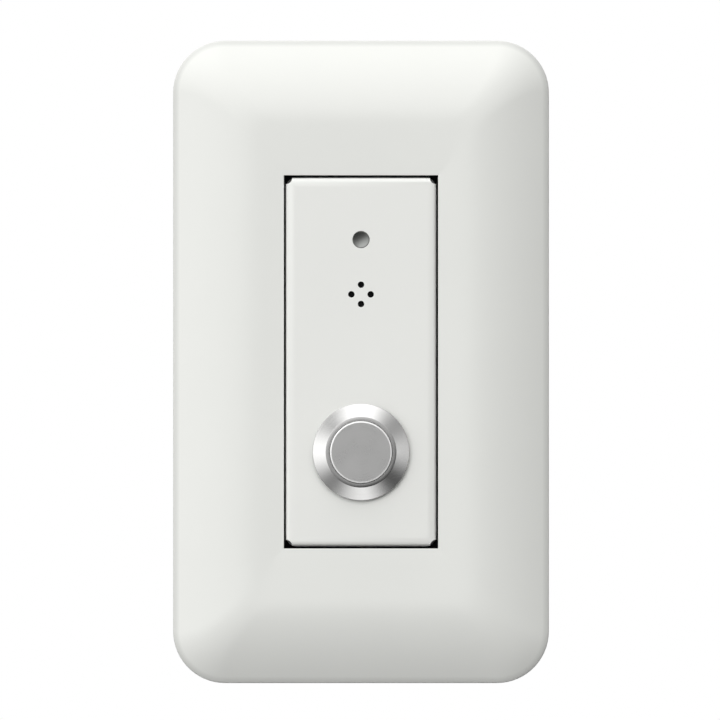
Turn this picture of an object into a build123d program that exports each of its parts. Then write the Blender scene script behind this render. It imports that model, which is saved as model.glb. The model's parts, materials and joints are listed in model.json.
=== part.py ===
"""Flush wall station with a metal push button, an indicator and a beeper.

The origin is midway between the two wall-box screw holes, on the wall's surface. +Z is up, +X is to
the right for a person facing the station, and the front looks along -Y. Heights are measured from
the wall: positive in front of it (towards -Y), negative inside the wall box (towards +Y).
All sizes are in millimetres.
"""

from build123d import *

import os
from math import sin, sqrt, radians

os.makedirs("parts", exist_ok=True)

# ------------------------------------------------------------ driving sizes: cover and plate frame
PLATE_WIDTH = 70.2
PLATE_LENGTH = 120.0
PLATE_CORNER_R = 9.7
COVER_HEIGHT = 9.0
COVER_WALL = 1.8
COVER_INSET = 0.1
SLOPE_WIDTH = 15.5
SLOPE_END_ANGLE = 28.0
EDGE_FILLET_R = 1.0
COLLAR_WALL = 1.5
COLLAR_LENGTH = 5.0
RIM_HEIGHT = 1.6
WEB_HEIGHT = 2.8
LIP_WALL = 1.4
LIP_BELOW_COVER = 0.3
SEAL_INSET = 1.7
SEAL_WIDTH = 2.4
SEAL_DEPTH = 1.2
HOOK_INSET = 8.0
HOOK_SPACING = 60.0
HOOK_WIDTH = 6.0
HOOK_WALL = 1.2
HOOK_BARB = 0.8
HOOK_BARB_HEIGHT = 1.0
HOOK_TIP = 0.3

# ------------------------------------------------------------ driving sizes: insert panel
INSERT_WIDTH = 28.0
INSERT_LENGTH = 68.6
INSERT_PROUD = 0.3
INSERT_SIDE_GAP = 0.37
INSERT_END_GAP = 0.48
SHEET = 1.0
BEND_R = 1.1
RELIEF_R = 1.15
LED_HOLE_R = 1.6
LED_FROM_TOP = 11.5
SOUND_HOLE_R = 0.6
SOUND_CIRCLE_R = 1.8
SOUND_BELOW_LED = 10.2
BUTTON_FROM_BOTTOM = 17.5
STANDOFF_R = 2.5
STANDOFF_INSET = 3.8
STANDOFF_BORE_DEPTH = 5.0

# ------------------------------------------------------------ driving sizes: yoke and rear housing
YOKE_SHEET = 1.2
YOKE_FLANGE = 4.0
YOKE_END_MARGIN = 4.2
YOKE_CORNER_R = 3.0
STIFFENER_HEIGHT = 1.8
STIFFENER_LENGTH = 70.0
BOX_SCREW_PITCH = 83.5
BOX_SCREW_HOLE_R = 2.25
FRAME_SCREW_X = 12.0
FRAME_SCREW_FROM_END = 10.0
LUG_REACH = 4.0
TUB_INSET = 1.8
TUB_WALL = 1.6
TUB_DEPTH = 16.5
TUB_CORNER_R = 1.5
FLANGE_LIP = 0.7
FLANGE_END = 3.7
FLANGE_WALL = 1.6
LID_WALL = 1.6
LID_LIP_HEIGHT = 1.0
LID_LIP_WALL = 1.2
POST_R = 1.8
RIB_WALL = 1.4
MIDDLE_POST_LENGTH = 7.2
LOWER_POST_LENGTH = 11.5
GROMMET_BORE_R = 3.0
GROMMET_NECK_R = 5.0
GROMMET_FLANGE_R = 6.6
GROMMET_FLANGE = 1.5
GROMMET_BELOW_TERMINALS = 5.4

# ------------------------------------------------------------ driving sizes: push switch
BARREL_R = 8.0
BARREL_LENGTH = 12.3
THREAD_PITCH = 1.0
THREAD_DEPTH = 0.4
BEZEL_OVERHANG = 1.0
BEZEL_EDGE = 0.35
BEZEL_HEIGHT = 1.9
BEZEL_LAND = 0.75
BEZEL_GASKET = 0.4
CAP_R = 5.75
CAP_PROUD = 0.8
CAP_LENGTH = 4.2
CAP_CHAMFER = 0.22
CAP_STEM_R = 2.0
CAP_TIP_R = 1.2
CAP_TIP_LENGTH = 1.4
CAP_TRAVEL = 1.8
INNER_WEB_DEPTH = 9.4
INNER_WEB_WALL = 1.5
STEM_GROOVE_R = 1.5
RING_R = 3.6
RING_WALL = 0.6
RING_MOUTH = 2.6
SEAL_SECTION_R = 0.52
SEAL_BELOW_TOP = 2.4
RETURN_COIL_R = 4.3
RETURN_WIRE_R = 0.3
RETURN_TURNS = 4.5
NUT_WALL = 1.5
NUT_HEIGHT = 2.5
NUT_CHAMFER = 0.6
WASHER_RIM = 2.2
WASHER_WALL = 0.5
WASHER_TEETH = 14
WASHER_NOTCH_DEPTH = 0.8
WASHER_NOTCH_WIDTH = 1.1
BLOCK_SHOULDER = 0.3
BLOCK_BORE_R = 5.2
BLOCK_LENGTH = 9.0
BLOCK_FLOOR = 3.0
PLUNGER_R = 2.4
PLUNGER_LENGTH = 6.4
PLUNGER_TIP_R = 1.0
PLUNGER_TIP_LENGTH = 2.6
BRIDGE_LENGTH = 8.8
BRIDGE_WIDTH = 2.4
BRIDGE_WALL = 0.5
BRIDGE_TRAVEL = 1.15
CONTACT_R = 0.9
CONTACT_HEIGHT = 0.6
CONTACT_X = 3.5
CONTACT_POST_R = 0.7
CONTACT_COIL_R = 0.85
CONTACT_WIRE_R = 0.125
CONTACT_TURNS = 4
CONTACT_SPRING_LENGTH = 2.2
TAB_LENGTH = 3.8
TAB_WIDTH = 2.0
TAB_WALL = 0.6
TAB_HOLE_R = 0.5

# ------------------------------------------------------------ driving sizes: electronics
BOARD_WALL = 1.6
BOARD_SCREW_INSET = 2.1
BOARD_ABOVE_BARREL = 1.3
PIN_R = 0.25
TAIL = 0.6
BUZZER_R = 6.0
BUZZER_HEIGHT = 8.5
BUZZER_WALL = 0.7
BUZZER_PORT_R = 1.2
BUZZER_GASKET = 1.0
BUZZER_BASE_WALL = 0.8
BUZZER_PIN_X = 3.25
DIAPHRAGM_WALL = 0.2
DIAPHRAGM_DEPTH = 3.3
MAGNET_WIDTH = 1.2
MAGNET_HEIGHT = 3.0
COIL_R = 2.4
COIL_HEIGHT = 2.8
CORE_R = 0.85
CORE_HEIGHT = 3.8
MESH_R = 3.0
MESH_WALL = 0.2
LED_R = 1.5
LED_HEIGHT = 5.3
LED_FLANGE_R = 1.9
LED_LEAD_X = 1.27
LED_BEHIND_LENS = 0.3
LENS_FLANGE_R = 3.0
LENS_FLANGE = 0.8
LENS_BOSS = 0.25
SPACER_R = 2.5
WAYS = 4
WAY_PITCH = 3.81
TERMINAL_DEPTH = 8.0
TERMINAL_HEIGHT = 10.0
CAGE_WIDTH = 2.8
CAGE_HEIGHT = 3.5
CAGE_LENGTH = 5.0
CAGE_WALL = 0.4
CAGE_ABOVE_BOARD = 2.2
TERMINAL_PIN_R = 0.4
TERMINAL_PIN_INSET = 1.6
TERMINAL_CHAMFER = 0.8
TERMINAL_SCREW_R = 0.8
TERMINAL_HEAD_R = 1.25
TERMINAL_HEAD_HEIGHT = 0.9
TERMINAL_SLOT = 0.4
HEADER_WIDTH = 7.4
HEADER_DEPTH = 5.6
HEADER_HEIGHT = 5.2
HEADER_WALL = 0.7
HEADER_FLOOR_WALL = 1.0
HEADER_PIN_LENGTH = 3.4
HEADER_ABOVE_POST = 2.2
PLUG_BACK = 6.0
LEAD_R = 0.45
LEAD_PITCH = 2.5
CAN_R = 2.5
CAN_HEIGHT = 7.0
CAN_LEAD_PITCH = 2.0
CAN_CRIMP = 0.3
CAN_CRIMP_HEIGHT = 1.2
CHIP_WIDTH = 3.9
CHIP_LENGTH = 4.9
CHIP_HEIGHT = 1.4
CHIP_CHAMFER = 0.25
CHIP_MARK_R = 0.35
CHIP_MARK_INSET = 0.75
CHIP_LEG_PITCH = 1.27
CHIP_LEG_WIDTH = 0.4
CHIP_LEG_WALL = 0.17
CHIP_LEG_TOP = 0.85
CHIP_LEG_SHOULDER = 0.45
CHIP_LEG_REACH = 1.05
RESISTOR_WIDTH = 1.6
RESISTOR_LENGTH = 3.2
RESISTOR_HEIGHT = 0.55
RESISTOR_CHAMFER = 0.08
TRANSISTOR_WIDTH = 2.9
TRANSISTOR_DEPTH = 1.3
TRANSISTOR_HEIGHT = 1.0
TRANSISTOR_LEG_X = 0.95
TRANSISTOR_LEG_WIDTH = 0.4
TRANSISTOR_FOOT_LENGTH = 0.6
TRANSISTOR_FOOT_HEIGHT = 0.2

# ------------------------------------------------------------ driving sizes: where the small parts sit
CAN_X = -5.5
CAN_ABOVE_POST = 3.9
CHIP_X = 4.8
CHIP_ABOVE_POST = 7.2
TRANSISTOR_X = -1.6
TRANSISTOR_ABOVE_POST = 8.2
SIDE_RESISTOR_ABOVE_POST = 6.4
LAMP_RESISTOR_FROM_POST = 4.0
LAMP_RESISTOR_BELOW_POST = 0.7

# ------------------------------------------------------------ screws: shank and head radius, head height
M3 = (1.5, 2.8, 1.8)
M2_5 = (1.25, 2.3, 1.5)
M2 = (1.0, 1.9, 1.3)
FRAME_SCREW_LENGTH = 3.4
HOUSING_SCREW_LENGTH = 6.0
LID_SCREW_LENGTH = 6.6
BOARD_SCREW_LENGTH = 6.0
POST_BORE_DEPTH = 5.2

# ------------------------------------------------------------ named clearances
SLIP = 0.05  # a piece that slides or drops into another
RUNNING = 0.1  # a moving piece in its bore
THREAD_GAP = 0.02  # a plain shank that stands for a thread, in its tapped hole
HOLE_GAP = 0.15  # a screw or a pin through its hole
SNAP_GAP = 0.3  # a moulded hook in its window
FIT_GAP = 0.2  # a cover over its frame
YOKE_GAP = 0.4  # the frame round the yoke

# ------------------------------------------------------------ sizes worked out from those
SLOPE_R = SLOPE_WIDTH / sin(radians(SLOPE_END_ANGLE))
INNER_SLOPE_R = SLOPE_R - COVER_WALL
FRAME_INSET = COVER_INSET + COVER_WALL + FIT_GAP
COVER_EDGE_UNDERSIDE = (
    COVER_HEIGHT - COVER_WALL - INNER_SLOPE_R + sqrt(INNER_SLOPE_R**2 - (SLOPE_WIDTH - COVER_WALL) ** 2)
)
LIP_HEIGHT = COVER_EDGE_UNDERSIDE - LIP_BELOW_COVER
HOOK_X = PLATE_WIDTH / 2 - HOOK_INSET
HOOK_LEDGE = HOOK_TIP + HOOK_BARB_HEIGHT + RUNNING

PANEL_FRONT = COVER_HEIGHT + INSERT_PROUD
PANEL_BACK = PANEL_FRONT - SHEET
OPENING_WIDTH = INSERT_WIDTH + 2 * INSERT_SIDE_GAP
OPENING_LENGTH = INSERT_LENGTH + 2 * INSERT_END_GAP
LED_Z = INSERT_LENGTH / 2 - LED_FROM_TOP
SOUND_Z = LED_Z - SOUND_BELOW_LED
STANDOFF_X = INSERT_WIDTH / 2 - STANDOFF_INSET
STANDOFF_Z = INSERT_LENGTH / 2 - STANDOFF_INSET

FRAME_SCREW_Z = PLATE_LENGTH / 2 - FRAME_SCREW_FROM_END
YOKE_WIDTH = INSERT_WIDTH + 2 * YOKE_FLANGE
YOKE_LENGTH = 2 * (max(FRAME_SCREW_Z, BOX_SCREW_PITCH / 2) + YOKE_END_MARGIN)
TUB_X = INSERT_WIDTH / 2 - TUB_INSET
TUB_Z = STANDOFF_Z - M2_5[1] - TUB_WALL - YOKE_GAP
BUTTON_Z = max(BUTTON_FROM_BOTTOM - INSERT_LENGTH / 2, BARREL_R + FIT_GAP - TUB_Z)
TUB_BACK = -TUB_DEPTH
LID_BACK = TUB_BACK - LID_WALL

FLANGE_BASE = PANEL_FRONT + BEZEL_GASKET
LAND = FLANGE_BASE + BEZEL_HEIGHT
BARREL_END = FLANGE_BASE - BARREL_LENGTH
CAP_BORE_R = CAP_R + RUNNING
CAP_TOP = LAND + CAP_PROUD
CAP_UNDER = CAP_TOP - CAP_LENGTH
INNER_WEB_FRONT = LAND - INNER_WEB_DEPTH
INNER_WEB_BACK = INNER_WEB_FRONT - INNER_WEB_WALL
RING_FRONT = INNER_WEB_BACK - SLIP
RING_BACK = RING_FRONT - RING_WALL
SHOULDER = RING_BACK - 4 * SLIP
PLUNGER_FRONT = SHOULDER - SLIP
PLUNGER_BACK = PLUNGER_FRONT - PLUNGER_LENGTH
PLUNGER_END = PLUNGER_BACK - PLUNGER_TIP_LENGTH
BLOCK_BACK = BARREL_END - BLOCK_LENGTH
BLOCK_FLOOR_FRONT = BLOCK_BACK + BLOCK_FLOOR
NUT_FLATS = 2 * (BARREL_R + NUT_WALL)
WASHER_R = BARREL_R + WASHER_RIM
BLOCK_R = BARREL_R - BLOCK_SHOULDER
SPIGOT_R = BARREL_R - 2 * THREAD_DEPTH - 2 * RUNNING
BODY_CAVITY_R = SPIGOT_R + RUNNING
CONTACT_FACE = PLUNGER_BACK + CONTACT_HEIGHT - RUNNING
CONTACT_FOOT = CONTACT_FACE - CONTACT_HEIGHT
BRIDGE_BACK = CONTACT_FACE + SLIP + BRIDGE_TRAVEL
BRIDGE_FRONT = BRIDGE_BACK + BRIDGE_WALL
TAB_BACK = BLOCK_BACK - TAB_LENGTH

BUZZER_FRONT = PANEL_BACK - BUZZER_GASKET
BOARD_FRONT = BUZZER_FRONT - BUZZER_HEIGHT
BOARD_BACK = BOARD_FRONT - BOARD_WALL
BOARD_X = TUB_X - 2 * FIT_GAP
BOARD_TOP = TUB_Z - 2 * FIT_GAP
BOARD_BOTTOM = BUTTON_Z + BARREL_R + BOARD_ABOVE_BARREL
POST_X = BOARD_X - BOARD_SCREW_INSET
UPPER_POST_Z = BOARD_TOP - BOARD_SCREW_INSET
MIDDLE_POST_Z = BOARD_BOTTOM + BOARD_SCREW_INSET
LOWER_POST_Z = -UPPER_POST_Z
BUZZER_BORE_R = BUZZER_R - BUZZER_WALL
BUZZER_FLOOR = BOARD_FRONT + BUZZER_BASE_WALL
DIAPHRAGM_FRONT = BUZZER_FRONT - DIAPHRAGM_DEPTH
LENS_BACK = PANEL_BACK - LENS_FLANGE
LED_BASE = LENS_BACK - LED_BEHIND_LENS - LED_HEIGHT
TERMINAL_X = [(way - (WAYS - 1) / 2) * WAY_PITCH for way in range(WAYS)]
TERMINAL_TOP = UPPER_POST_Z - POST_R - TAIL
TERMINAL_BOTTOM = TERMINAL_TOP - TERMINAL_DEPTH
TERMINAL_BACK = BOARD_BACK - TERMINAL_HEIGHT
TERMINAL_PIN_Z = TERMINAL_TOP - TERMINAL_PIN_INSET
CAGE_TOP = TERMINAL_TOP - 2 * CAGE_WALL
CAGE_FRONT = BOARD_BACK - CAGE_ABOVE_BOARD
CAGE_BACK = CAGE_FRONT - CAGE_HEIGHT
GROMMET_Z = TERMINAL_BOTTOM - GROMMET_BELOW_TERMINALS
HEADER_Z = MIDDLE_POST_Z + HEADER_ABOVE_POST
HEADER_FLOOR = BOARD_BACK - HEADER_FLOOR_WALL
HEADER_BACK = BOARD_BACK - HEADER_HEIGHT
PLUG_REAR = BOARD_BACK - PLUG_BACK


# ------------------------------------------------------------ helpers
def facing_front(height, x=0.0, z=0.0):
    """A plane that faces the front, its local X to the right and its local Y up."""
    return Plane(origin=(x, -height, z), x_dir=(1, 0, 0), z_dir=(0, -1, 0))


def facing_back(height, x=0.0, z=0.0):
    """A plane that faces into the wall box, its local X to the right and its local Y down."""
    return Plane(origin=(x, -height, z), x_dir=(1, 0, 0), z_dir=(0, 1, 0))


def section_at(x=0.0, z=0.0, side=1):
    """A plane across the station: sideways distance is its local X and height its local Y."""
    return Plane(origin=(x, 0, z), x_dir=(side, 0, 0), z_dir=(0, 0, -side))


def axis_at(x=0.0, z=0.0):
    """The front-to-back axis that a round piece is turned about."""
    return Axis((x, 0, z), (0, -1, 0))


def four(x, z):
    """The four points that mirror each other about the middle of the station."""
    return [(x, z), (-x, z), (-x, -z), (x, -z)]


def slope_section(half, top, foot, bend_r, slope, edge_r=0.0):
    """Half a section of the cover: flat middle, an arc that leaves it level, and an upright edge."""
    flat = half - slope
    start = max(flat, 0.0)

    def arc(x):
        return (x, top - bend_r + sqrt(bend_r**2 - (x - flat) ** 2))

    with BuildLine() as outline:
        ThreePointArc(arc(start), arc((start + half) / 2), arc(half))
        Line(arc(half), (half, foot))
        Line((half, foot), (0, foot))
        Line((0, foot), (0, arc(start)[1]))
        if start > 0:
            Line((0, top), (start, top))
    face = make_face(outline.edges())
    if edge_r:
        fillet(face.vertices().sort_by_distance(Vector(*arc(half)))[0], edge_r)


def pillow(width, length, corner_r, top, foot, bend_r, slope, edge_r=0.0):
    """A low block whose curved bevel runs along its sides and turns with its rounded corners."""
    x, z = width / 2, length / 2
    curve = (top, foot, bend_r, slope, edge_r)
    with BuildPart() as block:
        with BuildSketch(section_at()):
            slope_section(x, *curve)
        extrude(amount=-z)
        with BuildSketch(Plane(origin=(0, 0, 0), x_dir=(0, 0, 1), z_dir=(1, 0, 0))):
            slope_section(z, *curve)
        extrude(amount=x, mode=Mode.INTERSECT)
        with BuildSketch(facing_front(foot, x - corner_r / 2, z - corner_r / 2)):
            Rectangle(corner_r, corner_r)
        extrude(amount=top - foot, mode=Mode.SUBTRACT)
        with BuildSketch(section_at(x - corner_r, z - corner_r)):
            slope_section(corner_r, *curve)
        revolve(axis=axis_at(x - corner_r, z - corner_r), revolution_arc=90)
        mirror(about=Plane.YZ)
        mirror(about=Plane.XY)
    return block.part


def ring(outer_r, inner_r, front, back, x=0.0, z=0.0):
    """Adds a plain ring, or a disc where the inner radius is 0, between two heights."""
    with BuildSketch(facing_front(back, x, z)) as outline:
        Circle(outer_r)
        if inner_r:
            Circle(inner_r, mode=Mode.SUBTRACT)
    extrude(outline.sketch, amount=front - back)


def drill(radius, front, back, points):
    """Cuts round holes between two heights at a list of (x, z) points."""
    with BuildSketch(facing_front(back)) as outline:
        with Locations(*points):
            Circle(radius)
    extrude(outline.sketch, amount=front - back, mode=Mode.SUBTRACT)


def block(width, length, front, back, x=0.0, z=0.0, mode=Mode.ADD):
    """Adds or cuts a square-cornered block between two heights."""
    with BuildSketch(facing_front(back, x, z)) as outline:
        Rectangle(width, length)
    extrude(outline.sketch, amount=front - back, mode=mode)


def turned(points, x=0.0, z=0.0, mode=Mode.ADD):
    """Adds or cuts a turned solid, from its half section as (radius, height) points."""
    with BuildSketch(section_at(x, z)) as section:
        with BuildLine():
            Polyline(*points, close=True)
        make_face()
    revolve(section.sketch, axis=axis_at(x, z), mode=mode)


def screw(size, length):
    """A pan-head screw along +Z, the underside of its head at 0, with a cross recess."""
    shank_r, head_r, head_height = size
    with BuildPart() as made:
        with BuildSketch():
            Circle(head_r)
        extrude(amount=head_height)
        fillet(made.edges().filter_by(GeomType.CIRCLE).sort_by(Axis.Z)[-1], 0.5 * head_height)
        with BuildSketch(Plane.XY.offset(0.4 * head_height)):
            Rectangle(1.1 * head_r, 0.28 * head_r)
            Rectangle(0.28 * head_r, 1.1 * head_r)
        extrude(amount=head_height, mode=Mode.SUBTRACT)
        with BuildSketch():
            Circle(shank_r)
        extrude(amount=-length)
        chamfer(made.faces().sort_by(Axis.Z)[0].edges(), 0.3 * shank_r)
    return made.part


def coil(mean_r, wire_r, turns, length):
    """A compression spring along +Z, from 0 to its length."""
    rise = length - 2 * wire_r
    helix = Helix(pitch=rise / turns, height=rise, radius=mean_r)
    with BuildPart() as made:
        with BuildLine(Plane.XY.offset(wire_r)):
            add(helix)
        with BuildSketch(Plane(origin=helix @ 0 + Vector(0, 0, wire_r), z_dir=helix % 0)):
            Circle(wire_r)
        sweep(is_frenet=True)
    return made.part


# ------------------------------------------------------------ cover plate
COVER_WIDTH = PLATE_WIDTH - 2 * COVER_INSET
COVER_LENGTH = PLATE_LENGTH - 2 * COVER_INSET
COVER_CORNER_R = PLATE_CORNER_R - COVER_INSET

with BuildPart() as cover_plate:
    add(
        pillow(
            COVER_WIDTH,
            COVER_LENGTH,
            COVER_CORNER_R,
            COVER_HEIGHT,
            RIM_HEIGHT,
            SLOPE_R,
            SLOPE_WIDTH,
            EDGE_FILLET_R,
        )
    )
    add(
        pillow(
            COVER_WIDTH - 2 * COVER_WALL,
            COVER_LENGTH - 2 * COVER_WALL,
            COVER_CORNER_R - COVER_WALL,
            COVER_HEIGHT - COVER_WALL,
            0.0,
            INNER_SLOPE_R,
            SLOPE_WIDTH - COVER_WALL,
        ),
        mode=Mode.SUBTRACT,
    )
    # the collar behind the opening guides the insert panel and stiffens the cover
    block(
        OPENING_WIDTH + 2 * COLLAR_WALL,
        OPENING_LENGTH + 2 * COLLAR_WALL,
        COVER_HEIGHT - COVER_WALL / 2,
        COVER_HEIGHT - COLLAR_LENGTH,
    )
    block(OPENING_WIDTH, OPENING_LENGTH, COVER_HEIGHT, 0, mode=Mode.SUBTRACT)
    # each hook reaches back through a window of the frame, and its barb catches under the ledge
    for side in (1, -1):
        for hook_z in (HOOK_SPACING / 2, -HOOK_SPACING / 2):
            with BuildSketch(section_at(side * HOOK_X, hook_z, side)):
                with BuildLine():
                    Polyline(
                        (-HOOK_WALL / 2, COVER_HEIGHT - COVER_WALL),
                        (-HOOK_WALL / 2, HOOK_TIP),
                        (HOOK_WALL / 2, HOOK_TIP),
                        (HOOK_WALL / 2 + HOOK_BARB, HOOK_TIP + 0.7 * HOOK_BARB_HEIGHT),
                        (HOOK_WALL / 2 + HOOK_BARB, HOOK_TIP + HOOK_BARB_HEIGHT),
                        (HOOK_WALL / 2, HOOK_TIP + HOOK_BARB_HEIGHT),
                        (HOOK_WALL / 2, COVER_HEIGHT - COVER_WALL),
                        close=True,
                    )
                make_face()
            extrude(amount=HOOK_WIDTH / 2, both=True)
cover_plate.part.label = "cover_plate"
export_step(cover_plate.part, "parts/cover_plate.step")


# ------------------------------------------------------------ plate frame, its gasket and its screws
def plate_outline(inset, front, back, mode=Mode.ADD):
    """The plate's rounded outline, moved in by an inset, between two heights."""
    with BuildSketch(facing_front(back)) as outline:
        RectangleRounded(PLATE_WIDTH - 2 * inset, PLATE_LENGTH - 2 * inset, PLATE_CORNER_R - inset)
    extrude(outline.sketch, amount=front - back, mode=mode)


with BuildPart() as plate_frame:
    plate_outline(0, RIM_HEIGHT, 0)
    plate_outline(FRAME_INSET, LIP_HEIGHT, 0)
    plate_outline(FRAME_INSET + LIP_WALL, LIP_HEIGHT, WEB_HEIGHT, Mode.SUBTRACT)
    # the opening clears the yoke, which lies in the same layer
    with BuildSketch(facing_front(0)):
        RectangleRounded(YOKE_WIDTH + 2 * YOKE_GAP, YOKE_LENGTH + 2 * YOKE_GAP, YOKE_CORNER_R)
    extrude(amount=WEB_HEIGHT, mode=Mode.SUBTRACT)
    # four lugs reach in over the yoke and take the frame screws
    for end in (1, -1):
        lug_foot = FRAME_SCREW_Z - LUG_REACH
        lug_root = YOKE_LENGTH / 2 + YOKE_GAP
        for side in (1, -1):
            block(
                2 * LUG_REACH,
                lug_root - lug_foot + YOKE_GAP,
                WEB_HEIGHT,
                YOKE_SHEET,
                side * FRAME_SCREW_X,
                end * (lug_root + lug_foot + YOKE_GAP) / 2,
            )
    drill(M3[0] + HOLE_GAP, WEB_HEIGHT, 0, four(FRAME_SCREW_X, FRAME_SCREW_Z))
    # stepped windows: the barbs pass the narrow upper part and open out under its ledge
    for side in (1, -1):
        for hook_z in (HOOK_SPACING / 2, -HOOK_SPACING / 2):
            block(
                HOOK_WALL + 2 * SNAP_GAP,
                HOOK_WIDTH + 2 * SNAP_GAP,
                WEB_HEIGHT,
                0,
                side * HOOK_X,
                hook_z,
                Mode.SUBTRACT,
            )
            block(
                HOOK_WALL + HOOK_BARB + 2 * SNAP_GAP,
                HOOK_WIDTH + 2 * SNAP_GAP,
                HOOK_LEDGE,
                0,
                side * (HOOK_X + HOOK_BARB / 2),
                hook_z,
                Mode.SUBTRACT,
            )
    # the groove at the back for the wall gasket
    with BuildSketch(facing_front(0)):
        for inset, mode in ((SEAL_INSET - SLIP, Mode.ADD), (SEAL_INSET + SEAL_WIDTH + SLIP, Mode.SUBTRACT)):
            RectangleRounded(
                PLATE_WIDTH - 2 * inset, PLATE_LENGTH - 2 * inset, PLATE_CORNER_R - inset, mode=mode
            )
    extrude(amount=SEAL_DEPTH, mode=Mode.SUBTRACT)
plate_frame.part.label = "plate_frame"
export_step(plate_frame.part, "parts/plate_frame.step")

with BuildPart() as wall_gasket:
    plate_outline(SEAL_INSET, SEAL_DEPTH, 0)
    plate_outline(SEAL_INSET + SEAL_WIDTH, SEAL_DEPTH, 0, Mode.SUBTRACT)
wall_gasket.part.label = "wall_gasket"
export_step(wall_gasket.part, "parts/wall_gasket.step")

frame_screw = screw(M3, FRAME_SCREW_LENGTH)
with BuildPart() as frame_screws:
    for x, z in four(FRAME_SCREW_X, FRAME_SCREW_Z):
        with Locations(facing_front(WEB_HEIGHT, x, z)):
            add(frame_screw)
frame_screws.part.label = "frame_screws"
export_step(frame_screws.part, "parts/frame_screws.step")

# ------------------------------------------------------------ mounting yoke
with BuildPart() as mounting_yoke:
    with BuildSketch(facing_front(0)):
        RectangleRounded(YOKE_WIDTH, YOKE_LENGTH, YOKE_CORNER_R)
        RectangleRounded(2 * TUB_X, 2 * TUB_Z, TUB_CORNER_R, mode=Mode.SUBTRACT)
    extrude(amount=YOKE_SHEET)
    # the long edges are folded forward, which keeps the thin sheet straight
    for side in (1, -1):
        block(
            YOKE_SHEET,
            STIFFENER_LENGTH,
            YOKE_SHEET + STIFFENER_HEIGHT,
            YOKE_SHEET,
            side * (YOKE_WIDTH - YOKE_SHEET) / 2,
        )
    drill(BOX_SCREW_HOLE_R, YOKE_SHEET, 0, [(0, BOX_SCREW_PITCH / 2), (0, -BOX_SCREW_PITCH / 2)])
    drill(M2_5[0] + HOLE_GAP, YOKE_SHEET, 0, four(STANDOFF_X, STANDOFF_Z))
    drill(M3[0] + THREAD_GAP, YOKE_SHEET, 0, four(FRAME_SCREW_X, FRAME_SCREW_Z))
mounting_yoke.part.label = "mounting_yoke"
export_step(mounting_yoke.part, "parts/mounting_yoke.step")

# ------------------------------------------------------------ insert panel and its standoffs
with BuildPart() as insert_panel:
    block(INSERT_WIDTH, INSERT_LENGTH, PANEL_FRONT, YOKE_SHEET + RUNNING)
    fillet(insert_panel.faces().sort_by(Axis.Y)[0].edges(), BEND_R)
    block(
        INSERT_WIDTH - 2 * SHEET,
        INSERT_LENGTH - 2 * SHEET,
        PANEL_BACK,
        YOKE_SHEET + RUNNING,
        mode=Mode.SUBTRACT,
    )
    # round reliefs let the four edges fold without tearing
    drill(RELIEF_R, PANEL_FRONT, 0, four(INSERT_WIDTH / 2, INSERT_LENGTH / 2))
    drill(LED_HOLE_R, PANEL_FRONT, PANEL_BACK, [(0, LED_Z)])
    drill(BARREL_R + SLIP, PANEL_FRONT, PANEL_BACK, [(0, BUTTON_Z)])
    with BuildSketch(facing_front(PANEL_BACK, 0, SOUND_Z)):
        with PolarLocations(SOUND_CIRCLE_R, 4):
            Circle(SOUND_HOLE_R)
    extrude(amount=SHEET, mode=Mode.SUBTRACT)
insert_panel.part.label = "insert_panel"
export_step(insert_panel.part, "parts/insert_panel.step")

with BuildPart() as insert_standoffs:
    for x, z in four(STANDOFF_X, STANDOFF_Z):
        ring(STANDOFF_R, 0, PANEL_BACK, YOKE_SHEET, x, z)
    drill(
        M2_5[0] + THREAD_GAP,
        YOKE_SHEET + STANDOFF_BORE_DEPTH,
        YOKE_SHEET,
        four(STANDOFF_X, STANDOFF_Z),
    )
insert_standoffs.part.label = "insert_standoffs"
export_step(insert_standoffs.part, "parts/insert_standoffs.step")


# ------------------------------------------------------------ rear housing, its cover and screws
def post(z, front, back):
    """Two round posts, each tied to the nearer side wall by a rib."""
    for side in (1, -1):
        ring(POST_R, 0, front, back, side * POST_X, z)
        block(
            TUB_X + TUB_WALL / 2 - POST_X,
            RIB_WALL,
            front,
            back,
            side * (TUB_X + TUB_WALL / 2 + POST_X) / 2,
            z,
        )


def pair(x, z):
    return [(x, z), (-x, z)]


with BuildPart() as rear_housing:
    with BuildSketch(facing_front(-FLANGE_WALL)):
        RectangleRounded(2 * (TUB_X + TUB_WALL + FLANGE_LIP), 2 * (STANDOFF_Z + FLANGE_END), 2 * TUB_CORNER_R)
    extrude(amount=FLANGE_WALL)
    with BuildSketch(facing_front(TUB_BACK)):
        RectangleRounded(2 * (TUB_X + TUB_WALL), 2 * (TUB_Z + TUB_WALL), TUB_CORNER_R + TUB_WALL)
    extrude(amount=TUB_DEPTH)
    with BuildSketch(facing_front(TUB_BACK)):
        RectangleRounded(2 * TUB_X, 2 * TUB_Z, TUB_CORNER_R)
    extrude(amount=TUB_DEPTH, mode=Mode.SUBTRACT)
    post(UPPER_POST_Z, BOARD_BACK, TUB_BACK)
    post(MIDDLE_POST_Z, BOARD_BACK, BOARD_BACK - MIDDLE_POST_LENGTH)
    post(LOWER_POST_Z, TUB_BACK + LOWER_POST_LENGTH, TUB_BACK)
    board_posts = pair(POST_X, UPPER_POST_Z) + pair(POST_X, MIDDLE_POST_Z)
    drill(M2[0] + THREAD_GAP, BOARD_BACK, BOARD_BACK - POST_BORE_DEPTH, board_posts)
    drill(M2[0] + THREAD_GAP, TUB_BACK + POST_BORE_DEPTH, TUB_BACK, four(POST_X, UPPER_POST_Z))
    drill(M2_5[0] + HOLE_GAP, 0, -FLANGE_WALL, four(STANDOFF_X, STANDOFF_Z))
rear_housing.part.label = "rear_housing"
export_step(rear_housing.part, "parts/rear_housing.step")

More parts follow.
